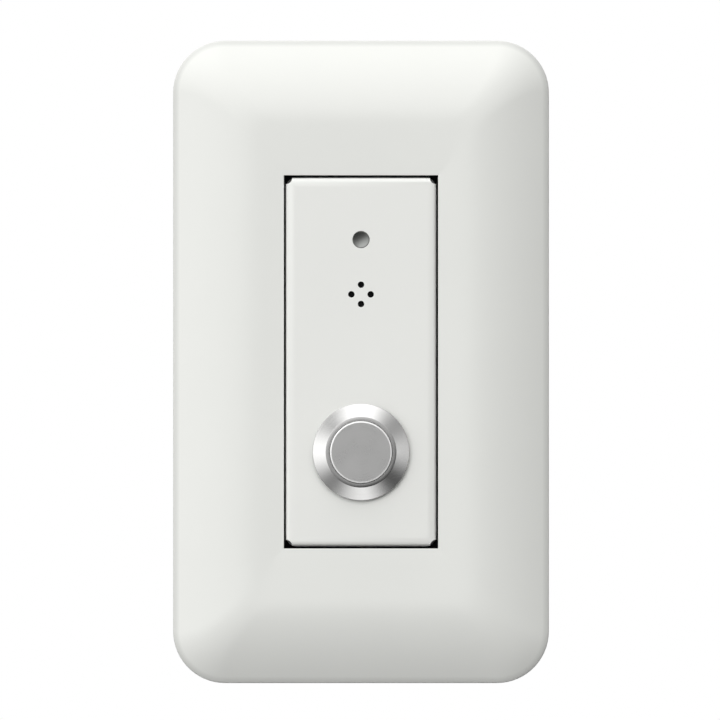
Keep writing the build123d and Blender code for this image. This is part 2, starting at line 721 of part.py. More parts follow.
housing_screw = screw(M2_5, HOUSING_SCREW_LENGTH)
with BuildPart() as housing_screws:
    for x, z in four(STANDOFF_X, STANDOFF_Z):
        with Locations(facing_back(-FLANGE_WALL, x, z)):
            add(housing_screw)
housing_screws.part.label = "housing_screws"
export_step(housing_screws.part, "parts/housing_screws.step")

with BuildPart() as rear_cover:
    with BuildSketch(facing_front(LID_BACK)):
        RectangleRounded(2 * (TUB_X + TUB_WALL), 2 * (TUB_Z + TUB_WALL), TUB_CORNER_R + TUB_WALL)
    extrude(amount=LID_WALL)
    # two lips drop inside the long walls, between the posts
    for side in (1, -1):
        block(
            LID_LIP_WALL,
            2 * (UPPER_POST_Z - 2 * POST_R),
            TUB_BACK + LID_LIP_HEIGHT,
            TUB_BACK,
            side * (TUB_X - FIT_GAP - LID_LIP_WALL / 2),
        )
    drill(GROMMET_NECK_R + SLIP, TUB_BACK, LID_BACK, [(0, GROMMET_Z)])
    drill(M2[0] + HOLE_GAP, TUB_BACK, LID_BACK, four(POST_X, UPPER_POST_Z))
rear_cover.part.label = "rear_cover"
export_step(rear_cover.part, "parts/rear_cover.step")

lid_screw = screw(M2, LID_SCREW_LENGTH)
with BuildPart() as rear_cover_screws:
    for x, z in four(POST_X, UPPER_POST_Z):
        with Locations(facing_back(LID_BACK, x, z)):
            add(lid_screw)
rear_cover_screws.part.label = "rear_cover_screws"
export_step(rear_cover_screws.part, "parts/rear_cover_screws.step")

with BuildPart() as cable_grommet:
    turned(
        [
            (GROMMET_BORE_R, TUB_BACK + GROMMET_FLANGE),
            (GROMMET_FLANGE_R, TUB_BACK + GROMMET_FLANGE),
            (GROMMET_FLANGE_R, TUB_BACK),
            (GROMMET_NECK_R, TUB_BACK),
            (GROMMET_NECK_R, LID_BACK),
            (GROMMET_FLANGE_R, LID_BACK),
            (GROMMET_FLANGE_R, LID_BACK - GROMMET_FLANGE),
            (GROMMET_BORE_R, LID_BACK - GROMMET_FLANGE),
        ],
        z=GROMMET_Z,
    )
    outer_rims = cable_grommet.edges().filter_by(GeomType.CIRCLE).group_by(SortBy.RADIUS)[-1]
    fillet([outer_rims.sort_by(Axis.Y)[0], outer_rims.sort_by(Axis.Y)[-1]], 0.6 * GROMMET_FLANGE)
cable_grommet.part.label = "cable_grommet"
export_step(cable_grommet.part, "parts/cable_grommet.step")

# ------------------------------------------------------------ circuit board
CAN_Z = MIDDLE_POST_Z + CAN_ABOVE_POST
CHIP_Z = MIDDLE_POST_Z + CHIP_ABOVE_POST
TRANSISTOR_Z = MIDDLE_POST_Z + TRANSISTOR_ABOVE_POST
resistor_points = pair(POST_X, MIDDLE_POST_Z + SIDE_RESISTOR_ABOVE_POST) + pair(
    POST_X - LAMP_RESISTOR_FROM_POST, UPPER_POST_Z - LAMP_RESISTOR_BELOW_POST
)
can_lead_points = [(CAN_X, CAN_Z + CAN_LEAD_PITCH / 2), (CAN_X, CAN_Z - CAN_LEAD_PITCH / 2)]
terminal_points = [(x, TERMINAL_PIN_Z) for x in TERMINAL_X]
header_points = pair(LEAD_PITCH / 2, HEADER_Z)
fine_points = (
    pair(LED_LEAD_X, LED_Z) + pair(BUZZER_PIN_X, SOUND_Z) + can_lead_points + header_points
)

with BuildPart() as circuit_board:
    block(
        2 * BOARD_X,
        BOARD_TOP - BOARD_BOTTOM,
        BOARD_FRONT,
        BOARD_BACK,
        0,
        (BOARD_TOP + BOARD_BOTTOM) / 2,
    )
    fillet(circuit_board.edges().filter_by(Axis.Y), TUB_CORNER_R)
    drill(M2[0] + HOLE_GAP, BOARD_FRONT, BOARD_BACK, board_posts)
    drill(PIN_R + RUNNING, BOARD_FRONT, BOARD_BACK, fine_points)
    drill(TERMINAL_PIN_R + RUNNING, BOARD_FRONT, BOARD_BACK, terminal_points)
circuit_board.part.label = "circuit_board"
export_step(circuit_board.part, "parts/circuit_board.step")

board_screw = screw(M2, BOARD_SCREW_LENGTH)
with BuildPart() as board_screws:
    for x, z in board_posts:
        with Locations(facing_front(BOARD_FRONT, x, z)):
            add(board_screw)
board_screws.part.label = "board_screws"
export_step(board_screws.part, "parts/board_screws.step")

# ------------------------------------------------------------ indicator
with BuildPart() as indicator_lens:
    ring(LENS_FLANGE_R, 0, PANEL_BACK, LENS_BACK, 0, LED_Z)
    ring(LED_HOLE_R - SLIP, 0, PANEL_BACK + LENS_BOSS, PANEL_BACK, 0, LED_Z)
indicator_lens.part.label = "indicator_lens"
export_step(indicator_lens.part, "parts/indicator_lens.step")

with BuildPart() as led_lamp:
    with BuildSketch(section_at(0, LED_Z)):
        with BuildLine():
            dome = LED_BASE + LED_HEIGHT - LED_R
            Polyline(
                (0, dome + LED_R),
                (0, LED_BASE),
                (LED_FLANGE_R, LED_BASE),
                (LED_FLANGE_R, LED_BASE + 1.0),
                (LED_R, LED_BASE + 1.0),
                (LED_R, dome),
            )
            RadiusArc((LED_R, dome), (0, dome + LED_R), -LED_R)
        make_face()
    revolve(axis=axis_at(0, LED_Z))
led_lamp.part.label = "led_lamp"
export_step(led_lamp.part, "parts/led_lamp.step")

with BuildPart() as led_spacer:
    ring(SPACER_R, 0, LED_BASE, BOARD_FRONT, 0, LED_Z)
    drill(PIN_R + RUNNING, LED_BASE, BOARD_FRONT, pair(LED_LEAD_X, LED_Z))
led_spacer.part.label = "led_spacer"
export_step(led_spacer.part, "parts/led_spacer.step")

with BuildPart() as led_leads:
    for x, z in pair(LED_LEAD_X, LED_Z):
        ring(PIN_R, 0, LED_BASE, BOARD_BACK - TAIL, x, z)
led_leads.part.label = "led_leads"
export_step(led_leads.part, "parts/led_leads.step")

# ------------------------------------------------------------ buzzer
with BuildPart() as buzzer_gasket:
    ring(BUZZER_R - FIT_GAP, MESH_R + FIT_GAP, PANEL_BACK, BUZZER_FRONT, 0, SOUND_Z)
buzzer_gasket.part.label = "buzzer_gasket"
export_step(buzzer_gasket.part, "parts/buzzer_gasket.step")

with BuildPart() as dust_mesh:
    ring(MESH_R, 0, PANEL_BACK, PANEL_BACK - MESH_WALL, 0, SOUND_Z)
dust_mesh.part.label = "dust_mesh"
export_step(dust_mesh.part, "parts/dust_mesh.step")

with BuildPart() as buzzer_case:
    turned(
        [
            (BUZZER_PORT_R, BUZZER_FRONT),
            (BUZZER_R, BUZZER_FRONT),
            (BUZZER_R, BOARD_FRONT),
            (BUZZER_BORE_R, BOARD_FRONT),
            (BUZZER_BORE_R, DIAPHRAGM_FRONT),
            (BUZZER_BORE_R - BUZZER_WALL, DIAPHRAGM_FRONT),
            (BUZZER_BORE_R - BUZZER_WALL, DIAPHRAGM_FRONT + BUZZER_WALL),
            (BUZZER_BORE_R, DIAPHRAGM_FRONT + BUZZER_WALL),
            (BUZZER_BORE_R, BUZZER_FRONT - BUZZER_WALL),
            (BUZZER_PORT_R, BUZZER_FRONT - BUZZER_WALL),
        ],
        z=SOUND_Z,
    )
buzzer_case.part.label = "buzzer_case"
export_step(buzzer_case.part, "parts/buzzer_case.step")

with BuildPart() as buzzer_base:
    ring(BUZZER_BORE_R - SLIP, 0, BUZZER_FLOOR, BOARD_FRONT, 0, SOUND_Z)
    drill(PIN_R + THREAD_GAP, BUZZER_FLOOR, BOARD_FRONT, pair(BUZZER_PIN_X, SOUND_Z))
buzzer_base.part.label = "buzzer_base"
export_step(buzzer_base.part, "parts/buzzer_base.step")

with BuildPart() as buzzer_diaphragm:
    ring(BUZZER_BORE_R - RUNNING, 0, DIAPHRAGM_FRONT, DIAPHRAGM_FRONT - DIAPHRAGM_WALL, 0, SOUND_Z)
buzzer_diaphragm.part.label = "buzzer_diaphragm"
export_step(buzzer_diaphragm.part, "parts/buzzer_diaphragm.step")

with BuildPart() as buzzer_magnet:
    ring(
        BUZZER_BORE_R - RUNNING,
        BUZZER_BORE_R - RUNNING - MAGNET_WIDTH,
        BUZZER_FLOOR + MAGNET_HEIGHT,
        BUZZER_FLOOR,
        0,
        SOUND_Z,
    )
buzzer_magnet.part.label = "buzzer_magnet"
export_step(buzzer_magnet.part, "parts/buzzer_magnet.step")

with BuildPart() as buzzer_coil:
    ring(COIL_R, CORE_R + SLIP, BUZZER_FLOOR + COIL_HEIGHT, BUZZER_FLOOR, 0, SOUND_Z)
buzzer_coil.part.label = "buzzer_coil"
export_step(buzzer_coil.part, "parts/buzzer_coil.step")

with BuildPart() as buzzer_core:
    ring(CORE_R, 0, BUZZER_FLOOR + CORE_HEIGHT, BUZZER_FLOOR, 0, SOUND_Z)
buzzer_core.part.label = "buzzer_core"
export_step(buzzer_core.part, "parts/buzzer_core.step")

with BuildPart() as buzzer_pins:
    for x, z in pair(BUZZER_PIN_X, SOUND_Z):
        ring(PIN_R, 0, BUZZER_FLOOR, BOARD_BACK - TAIL, x, z)
buzzer_pins.part.label = "buzzer_pins"
export_step(buzzer_pins.part, "parts/buzzer_pins.step")

# ------------------------------------------------------------ terminal block
screw_z = CAGE_TOP - 0.6 * CAGE_LENGTH

with BuildPart() as terminal_block:
    block(
        WAYS * WAY_PITCH,
        TERMINAL_DEPTH,
        BOARD_BACK,
        TERMINAL_BACK,
        0,
        (TERMINAL_TOP + TERMINAL_BOTTOM) / 2,
    )
    chamfer(terminal_block.edges().filter_by(Axis.X).group_by(Axis.Y)[-1], TERMINAL_CHAMFER)
    pocket_length = CAGE_TOP + SLIP - TERMINAL_BOTTOM
    for x in TERMINAL_X:
        block(
            CAGE_WIDTH + 2 * SLIP,
            pocket_length,
            CAGE_FRONT + SLIP,
            CAGE_BACK - SLIP,
            x,
            CAGE_TOP + SLIP - pocket_length / 2,
            Mode.SUBTRACT,
        )
    drill(TERMINAL_HEAD_R + RUNNING, CAGE_BACK, TERMINAL_BACK, [(x, screw_z) for x in TERMINAL_X])
    drill(TERMINAL_PIN_R + THREAD_GAP, BOARD_BACK, CAGE_FRONT, terminal_points)
terminal_block.part.label = "terminal_block"
export_step(terminal_block.part, "parts/terminal_block.step")

with BuildPart() as terminal_cages:
    for x in TERMINAL_X:
        cage_z = CAGE_TOP - CAGE_LENGTH / 2
        block(CAGE_WIDTH, CAGE_LENGTH, CAGE_FRONT, CAGE_BACK, x, cage_z)
        block(
            CAGE_WIDTH - 2 * CAGE_WALL,
            CAGE_LENGTH,
            CAGE_FRONT - CAGE_WALL,
            CAGE_BACK + CAGE_WALL,
            x,
            cage_z,
            Mode.SUBTRACT,
        )
    drill(TERMINAL_SCREW_R + THREAD_GAP, CAGE_BACK + CAGE_WALL, CAGE_BACK, [(x, screw_z) for x in TERMINAL_X])
terminal_cages.part.label = "terminal_cages"
export_step(terminal_cages.part, "parts/terminal_cages.step")

with BuildPart() as terminal_screws:
    for x in TERMINAL_X:
        head_front = CAGE_BACK - TAIL
        ring(TERMINAL_HEAD_R, 0, head_front, head_front - TERMINAL_HEAD_HEIGHT, x, screw_z)
        ring(TERMINAL_SCREW_R, 0, CAGE_FRONT - CAGE_HEIGHT / 2, head_front, x, screw_z)
        block(
            2 * TERMINAL_HEAD_R,
            TERMINAL_SLOT,
            head_front - TERMINAL_HEAD_HEIGHT / 2,
            head_front - TERMINAL_HEAD_HEIGHT,
            x,
            screw_z,
            Mode.SUBTRACT,
        )
terminal_screws.part.label = "terminal_screws"
export_step(terminal_screws.part, "parts/terminal_screws.step")

with BuildPart() as terminal_pins:
    for x, z in terminal_points:
        ring(TERMINAL_PIN_R, 0, BOARD_FRONT + TAIL, CAGE_FRONT, x, z)
terminal_pins.part.label = "terminal_pins"
export_step(terminal_pins.part, "parts/terminal_pins.step")

# ------------------------------------------------------------ lead header, plug and leads
PLUG_WIDTH = HEADER_WIDTH - 2 * HEADER_WALL - 2 * SLIP
PLUG_DEPTH = HEADER_DEPTH - 2 * HEADER_WALL - 2 * SLIP

with BuildPart() as lead_header:
    block(HEADER_WIDTH, HEADER_DEPTH, BOARD_BACK, HEADER_BACK, 0, HEADER_Z)
    block(
        HEADER_WIDTH - 2 * HEADER_WALL,
        HEADER_DEPTH - 2 * HEADER_WALL,
        HEADER_FLOOR,
        HEADER_BACK,
        0,
        HEADER_Z,
        Mode.SUBTRACT,
    )
    drill(PIN_R + THREAD_GAP, BOARD_BACK, HEADER_FLOOR, header_points)
lead_header.part.label = "lead_header"
export_step(lead_header.part, "parts/lead_header.step")

with BuildPart() as lead_header_pins:
    for x, z in header_points:
        ring(PIN_R, 0, BOARD_FRONT + TAIL, HEADER_FLOOR - HEADER_PIN_LENGTH, x, z)
lead_header_pins.part.label = "lead_header_pins"
export_step(lead_header_pins.part, "parts/lead_header_pins.step")

with BuildPart() as lead_plug:
    block(PLUG_WIDTH, PLUG_DEPTH, HEADER_FLOOR - SLIP, PLUG_REAR, 0, HEADER_Z)
    drill(PIN_R + SLIP, HEADER_FLOOR, HEADER_FLOOR - HEADER_PIN_LENGTH - SLIP, header_points)
lead_plug.part.label = "lead_plug"
export_step(lead_plug.part, "parts/lead_plug.step")


def switch_lead(side):
    """One lead, from the back of its plug, behind the switch, to the edge of a switch tab."""
    joint = BLOCK_BACK - TAB_LENGTH / 2 - RUNNING
    edge = BUTTON_Z + TAB_WIDTH / 2
    points = [
        (side * LEAD_PITCH / 2, -PLUG_REAR, HEADER_Z),
        (side * LEAD_PITCH / 2, 2.5 - PLUG_REAR, HEADER_Z),
        (side * (LEAD_PITCH / 2 + 0.2), 4.6 - PLUG_REAR, HEADER_Z - 1.5),
        (side * (CONTACT_X - 1.1), 0.4 - joint, HEADER_Z - 4.8),
        (side * CONTACT_X, -joint, edge + 3.8),
        (side * CONTACT_X, -joint, edge),
    ]
    corners = [Vector(*point) for point in points]
    runs = [after - before for before, after in zip(corners, corners[1:])]
    radii = []
    for first, second in zip(runs, runs[1:]):
        half_turn = radians(first.get_angle(second)) / 2
        radii.append(0.45 * min(first.length, second.length) * sqrt(1 - sin(half_turn) ** 2) / sin(half_turn))
    print("lead bend radii", [round(radius, 2) for radius in radii])
    with BuildPart() as lead:
        with BuildLine():
            FilletPolyline(*points, radius=radii)
        with BuildSketch(facing_back(PLUG_REAR, side * LEAD_PITCH / 2, HEADER_Z)):
            Circle(LEAD_R)
        sweep()
    return lead.part


with BuildPart() as switch_lead_red:
    add(switch_lead(-1))
switch_lead_red.part.label = "switch_lead_red"
export_step(switch_lead_red.part, "parts/switch_lead_red.step")

with BuildPart() as switch_lead_black:
    add(switch_lead(1))
switch_lead_black.part.label = "switch_lead_black"
export_step(switch_lead_black.part, "parts/switch_lead_black.step")

# ------------------------------------------------------------ small parts on the board's front
with BuildPart() as control_chip:
    block(CHIP_WIDTH, CHIP_LENGTH, BOARD_FRONT + RUNNING + CHIP_HEIGHT, BOARD_FRONT + RUNNING, CHIP_X, CHIP_Z)
    chamfer(control_chip.faces().sort_by(Axis.Y)[0].edges(), CHIP_CHAMFER)
    mark_point = (CHIP_X - CHIP_WIDTH / 2 + CHIP_MARK_INSET, CHIP_Z + CHIP_LENGTH / 2 - CHIP_MARK_INSET)
    drill(CHIP_MARK_R, BOARD_FRONT + 2 * CHIP_HEIGHT, BOARD_FRONT + CHIP_HEIGHT, [mark_point])
control_chip.part.label = "control_chip"
export_step(control_chip.part, "parts/control_chip.step")

with BuildPart() as chip_legs:
    for side in (1, -1):
        for leg in range(4):
            leg_z = CHIP_Z + (leg - 1.5) * CHIP_LEG_PITCH
            with BuildSketch(section_at(CHIP_X, leg_z, side)):
                with BuildLine():
                    body = CHIP_WIDTH / 2
                    knee = body + CHIP_LEG_SHOULDER
                    Polyline(
                        (body, BOARD_FRONT + CHIP_LEG_TOP),
                        (knee, BOARD_FRONT + CHIP_LEG_TOP),
                        (knee + CHIP_LEG_WALL, BOARD_FRONT + CHIP_LEG_WALL),
                        (body + CHIP_LEG_REACH, BOARD_FRONT + CHIP_LEG_WALL),
                        (body + CHIP_LEG_REACH, BOARD_FRONT),
                        (knee, BOARD_FRONT),
                        (knee - CHIP_LEG_WALL, BOARD_FRONT + CHIP_LEG_TOP - CHIP_LEG_WALL),
                        (body, BOARD_FRONT + CHIP_LEG_TOP - CHIP_LEG_WALL),
                        close=True,
                    )
                make_face()
            extrude(amount=CHIP_LEG_WIDTH / 2, both=True)
chip_legs.part.label = "chip_legs"
export_step(chip_legs.part, "parts/chip_legs.step")

with BuildPart() as filter_capacitor:
    turned(
        [
            (0, BOARD_FRONT + CAN_HEIGHT),
            (CAN_R - CAN_CRIMP, BOARD_FRONT + CAN_HEIGHT),
            (CAN_R, BOARD_FRONT + CAN_HEIGHT - CAN_CRIMP),
            (CAN_R, BOARD_FRONT + CAN_CRIMP_HEIGHT + CAN_CRIMP),
            (CAN_R - CAN_CRIMP, BOARD_FRONT + CAN_CRIMP_HEIGHT),
            (CAN_R, BOARD_FRONT + CAN_CRIMP_HEIGHT - CAN_CRIMP),
            (CAN_R, BOARD_FRONT),
            (0, BOARD_FRONT),
        ],
        CAN_X,
        CAN_Z,
    )
filter_capacitor.part.label = "filter_capacitor"
export_step(filter_capacitor.part, "parts/filter_capacitor.step")

with BuildPart() as capacitor_leads:
    for x, z in can_lead_points:
        ring(PIN_R, 0, BOARD_FRONT, BOARD_BACK - TAIL, x, z)
capacitor_leads.part.label = "capacitor_leads"
export_step(capacitor_leads.part, "parts/capacitor_leads.step")

with BuildPart() as chip_resistors:
    for x, z in resistor_points:
        block(RESISTOR_WIDTH, RESISTOR_LENGTH, BOARD_FRONT + RESISTOR_HEIGHT, BOARD_FRONT, x, z)
    chamfer(chip_resistors.edges().filter_by(Axis.Z), RESISTOR_CHAMFER)
chip_resistors.part.label = "chip_resistors"
export_step(chip_resistors.part, "parts/chip_resistors.step")

with BuildPart() as drive_transistor:
    block(
        TRANSISTOR_WIDTH,
        TRANSISTOR_DEPTH,
        BOARD_FRONT + TRANSISTOR_HEIGHT,
        BOARD_FRONT + RUNNING,
        TRANSISTOR_X,
        TRANSISTOR_Z,
    )
    # each leg is a flat foot on the board and a short riser against the side of the case
    for side, end in ((-1, 1), (1, 1), (0, -1)):
        leg_x = TRANSISTOR_X + side * TRANSISTOR_LEG_X
        for length, height in (
            (TRANSISTOR_FOOT_LENGTH, TRANSISTOR_FOOT_HEIGHT),
            (TRANSISTOR_FOOT_LENGTH / 2, 3 * TRANSISTOR_FOOT_HEIGHT),
        ):
            leg_z = TRANSISTOR_Z + end * (TRANSISTOR_DEPTH - 2 * RUNNING + length) / 2
            block(TRANSISTOR_LEG_WIDTH, length, BOARD_FRONT + height, BOARD_FRONT, leg_x, leg_z)
drive_transistor.part.label = "drive_transistor"
export_step(drive_transistor.part, "parts/drive_transistor.step")

# ------------------------------------------------------------ switch body and what clamps it
with BuildPart() as bezel_gasket:
    ring(BARREL_R + BEZEL_OVERHANG - FIT_GAP, BARREL_R + SLIP, FLANGE_BASE, PANEL_FRONT, 0, BUTTON_Z)
bezel_gasket.part.label = "bezel_gasket"
export_step(bezel_gasket.part, "parts/bezel_gasket.step")

with BuildPart() as switch_body:
    turned(
        [
            (CAP_BORE_R, LAND),
            (CAP_BORE_R + BEZEL_LAND, LAND),
            (BARREL_R + BEZEL_OVERHANG, FLANGE_BASE + BEZEL_EDGE),
            (BARREL_R + BEZEL_OVERHANG, FLANGE_BASE),
            (BARREL_R, FLANGE_BASE),
            (BARREL_R, BARREL_END),
            (BODY_CAVITY_R, BARREL_END),
            (BODY_CAVITY_R, INNER_WEB_BACK),
            (CAP_STEM_R + SLIP, INNER_WEB_BACK),
            (CAP_STEM_R + SLIP, INNER_WEB_FRONT),
            (CAP_BORE_R, INNER_WEB_FRONT),
        ],
        z=BUTTON_Z,
    )
    # the thread, as plain grooves one pitch apart
    thread_turns = int((PANEL_BACK - BARREL_END) / THREAD_PITCH)
    for turn in range(thread_turns):
        groove = BARREL_END + (turn + 0.5) * THREAD_PITCH
        turned(
            [
                (BARREL_R + SLIP, groove + 0.45 * THREAD_PITCH),
                (BARREL_R - THREAD_DEPTH, groove),
                (BARREL_R + SLIP, groove - 0.45 * THREAD_PITCH),
            ],
            z=BUTTON_Z,
            mode=Mode.SUBTRACT,
        )
switch_body.part.label = "switch_body"
export_step(switch_body.part, "parts/switch_body.step")

with BuildPart() as lock_washer:
    ring(WASHER_R, BARREL_R + RUNNING, PANEL_BACK, PANEL_BACK - WASHER_WALL, 0, BUTTON_Z)
    with BuildSketch(facing_front(PANEL_BACK - WASHER_WALL, 0, BUTTON_Z)):
        with PolarLocations(WASHER_R, WASHER_TEETH):
            Rectangle(2 * WASHER_NOTCH_DEPTH, WASHER_NOTCH_WIDTH)
    extrude(amount=WASHER_WALL, mode=Mode.SUBTRACT)
lock_washer.part.label = "lock_washer"
export_step(lock_washer.part, "parts/lock_washer.step")

NUT_FRONT = PANEL_BACK - WASHER_WALL
NUT_BACK = NUT_FRONT - NUT_HEIGHT

with BuildPart() as switch_nut:
    with BuildSketch(facing_front(NUT_BACK, 0, BUTTON_Z)):
        RegularPolygon(NUT_FLATS / 2, 6, major_radius=False, rotation=30)
        Circle(BARREL_R + THREAD_GAP, mode=Mode.SUBTRACT)
    extrude(amount=NUT_HEIGHT)
    turned(
        [
            (0, NUT_FRONT),
            (0.53 * NUT_FLATS, NUT_FRONT),
            (0.6 * NUT_FLATS, NUT_FRONT - NUT_CHAMFER),
            (0.6 * NUT_FLATS, NUT_BACK + NUT_CHAMFER),
            (0.53 * NUT_FLATS, NUT_BACK),
            (0, NUT_BACK),
        ],
        z=BUTTON_Z,
        mode=Mode.INTERSECT,
    )
switch_nut.part.label = "switch_nut"
export_step(switch_nut.part, "parts/switch_nut.step")

# ------------------------------------------------------------ contact block and fixed contacts
contact_points = pair(CONTACT_X, BUTTON_Z)
SPIGOT_FRONT = INNER_WEB_BACK - FIT_GAP
GUIDE_END = PLUNGER_END - CAP_TRAVEL - RUNNING

with BuildPart() as contact_block:
    turned(
        [
            (BLOCK_BORE_R, SPIGOT_FRONT),
            (SPIGOT_R, SPIGOT_FRONT),
            (SPIGOT_R, BARREL_END),
            (BLOCK_R, BARREL_END),
            (BLOCK_R, BLOCK_BACK),
            (0, BLOCK_BACK),
            (0, GUIDE_END),
            (PLUNGER_TIP_R + SLIP, GUIDE_END),
            (PLUNGER_TIP_R + SLIP, BLOCK_FLOOR_FRONT),
            (BLOCK_BORE_R, BLOCK_FLOOR_FRONT),
        ],
        z=BUTTON_Z,
    )
    drill(CONTACT_POST_R + THREAD_GAP, BLOCK_FLOOR_FRONT, BLOCK_BACK, contact_points)
contact_block.part.label = "contact_block"
export_step(contact_block.part, "parts/contact_block.step")

with BuildPart() as fixed_contacts:
    for x, z in contact_points:
        ring(CONTACT_R, 0, CONTACT_FACE, CONTACT_FOOT, x, z)
    chamfer(fixed_contacts.faces().filter_by(Axis.Y).group_by(Axis.Y)[0].edges(), 0.15)
fixed_contacts.part.label = "fixed_contacts"
export_step(fixed_contacts.part, "parts/fixed_contacts.step")

with BuildPart() as switch_terminals:
    for x, z in contact_points:
        ring(CONTACT_POST_R, 0, CONTACT_FOOT, BLOCK_BACK, x, z)
        block(TAB_WALL, TAB_WIDTH, BLOCK_BACK, TAB_BACK, x, z)
    with BuildSketch(Plane(origin=(0, -TAB_BACK - 2 * TAB_HOLE_R, BUTTON_Z), x_dir=(0, 1, 0), z_dir=(1, 0, 0))):
        Circle(TAB_HOLE_R)
    extrude(amount=BLOCK_R, both=True, mode=Mode.SUBTRACT)
switch_terminals.part.label = "switch_terminals"
export_step(switch_terminals.part, "parts/switch_terminals.step")

# ------------------------------------------------------------ what moves when the button is pressed
SEAL_HEIGHT = CAP_TOP - SEAL_BELOW_TOP
SEAL_R = CAP_BORE_R - SEAL_SECTION_R - SLIP
GROOVE_R = SEAL_R - SEAL_SECTION_R - SLIP

with BuildPart() as button_cap:
    turned(
        [
            (0, CAP_TOP),
            (CAP_R - CAP_CHAMFER, CAP_TOP),
            (CAP_R, CAP_TOP - CAP_CHAMFER),
            (CAP_R, SEAL_HEIGHT + SEAL_SECTION_R + SLIP),
            (GROOVE_R, SEAL_HEIGHT + SEAL_SECTION_R + SLIP),
            (GROOVE_R, SEAL_HEIGHT - SEAL_SECTION_R - SLIP),
            (CAP_R, SEAL_HEIGHT - SEAL_SECTION_R - SLIP),
            (CAP_R, CAP_UNDER),
            (CAP_STEM_R, CAP_UNDER),
            (CAP_STEM_R, RING_FRONT + THREAD_GAP),
            (STEM_GROOVE_R, RING_FRONT + THREAD_GAP),
            (STEM_GROOVE_R, RING_BACK - THREAD_GAP),
            (CAP_STEM_R, RING_BACK - THREAD_GAP),
            (CAP_STEM_R, SHOULDER),
            (CAP_TIP_R, SHOULDER),
            (CAP_TIP_R, SHOULDER - CAP_TIP_LENGTH),
            (0, SHOULDER - CAP_TIP_LENGTH),
        ],
        z=BUTTON_Z,
    )
button_cap.part.label = "button_cap"
export_step(button_cap.part, "parts/button_cap.step")

with BuildPart() as cap_seal:
    with BuildSketch(section_at(0, BUTTON_Z)):
        with Locations((SEAL_R, SEAL_HEIGHT)):
            Circle(SEAL_SECTION_R)
    revolve(axis=axis_at(0, BUTTON_Z))
cap_seal.part.label = "cap_seal"
export_step(cap_seal.part, "parts/cap_seal.step")

with BuildPart() as retaining_ring:
    ring(RING_R, STEM_GROOVE_R + THREAD_GAP, RING_FRONT, RING_BACK, 0, BUTTON_Z)
    block(RING_MOUTH, RING_R, RING_FRONT, RING_BACK, 0, BUTTON_Z + RING_R / 2, Mode.SUBTRACT)
retaining_ring.part.label = "retaining_ring"
export_step(retaining_ring.part, "parts/retaining_ring.step")

with BuildPart() as plunger:
    turned(
        [
            (CAP_TIP_R + THREAD_GAP, PLUNGER_FRONT),
            (PLUNGER_R, PLUNGER_FRONT),
            (PLUNGER_R, PLUNGER_BACK),
            (PLUNGER_TIP_R, PLUNGER_BACK),
            (PLUNGER_TIP_R, PLUNGER_END),
            (0, PLUNGER_END),
            (0, SHOULDER - CAP_TIP_LENGTH - SLIP),
            (CAP_TIP_R + THREAD_GAP, SHOULDER - CAP_TIP_LENGTH - SLIP),
        ],
        z=BUTTON_Z,
    )
    # the bridge and its spring lie in a slot that goes right through
    block(
        4 * PLUNGER_R,
        BRIDGE_WIDTH + 2 * HOLE_GAP,
        BRIDGE_FRONT + CONTACT_SPRING_LENGTH,
        BRIDGE_BACK - SLIP,
        0,
        BUTTON_Z,
        Mode.SUBTRACT,
    )
plunger.part.label = "plunger"
export_step(plunger.part, "parts/plunger.step")

with BuildPart() as contact_bridge:
    block(BRIDGE_LENGTH, BRIDGE_WIDTH, BRIDGE_FRONT, BRIDGE_BACK, 0, BUTTON_Z)
    fillet(contact_bridge.edges().filter_by(Axis.Y), 0.4)
contact_bridge.part.label = "contact_bridge"
export_step(contact_bridge.part, "parts/contact_bridge.step")

bridge_coil = coil(CONTACT_COIL_R, CONTACT_WIRE_R, CONTACT_TURNS, CONTACT_SPRING_LENGTH)
with BuildPart() as contact_spring:
    with Locations(facing_front(BRIDGE_FRONT, 0, BUTTON_Z)):
        add(bridge_coil)
contact_spring.part.label = "contact_spring"
export_step(contact_spring.part, "parts/contact_spring.step")

button_coil = coil(RETURN_COIL_R, RETURN_WIRE_R, RETURN_TURNS, CAP_UNDER - INNER_WEB_FRONT)
with BuildPart() as return_spring:
    with Locations(facing_front(INNER_WEB_FRONT, 0, BUTTON_Z)):
        add(button_coil)
return_spring.part.label = "return_spring"
export_step(return_spring.part, "parts/return_spring.step")
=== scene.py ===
# %% [markdown]
# # A flush wall station with a metal push button
#
# The station is a shallow pale cover plate with a metal insert. A steel push button, a small
# indicator and four sound holes sit in the insert, and a dark housing behind it goes into the wall.
# The CAD model gives every place and size; this lesson gives the same pieces their real surfaces.

import json
import math

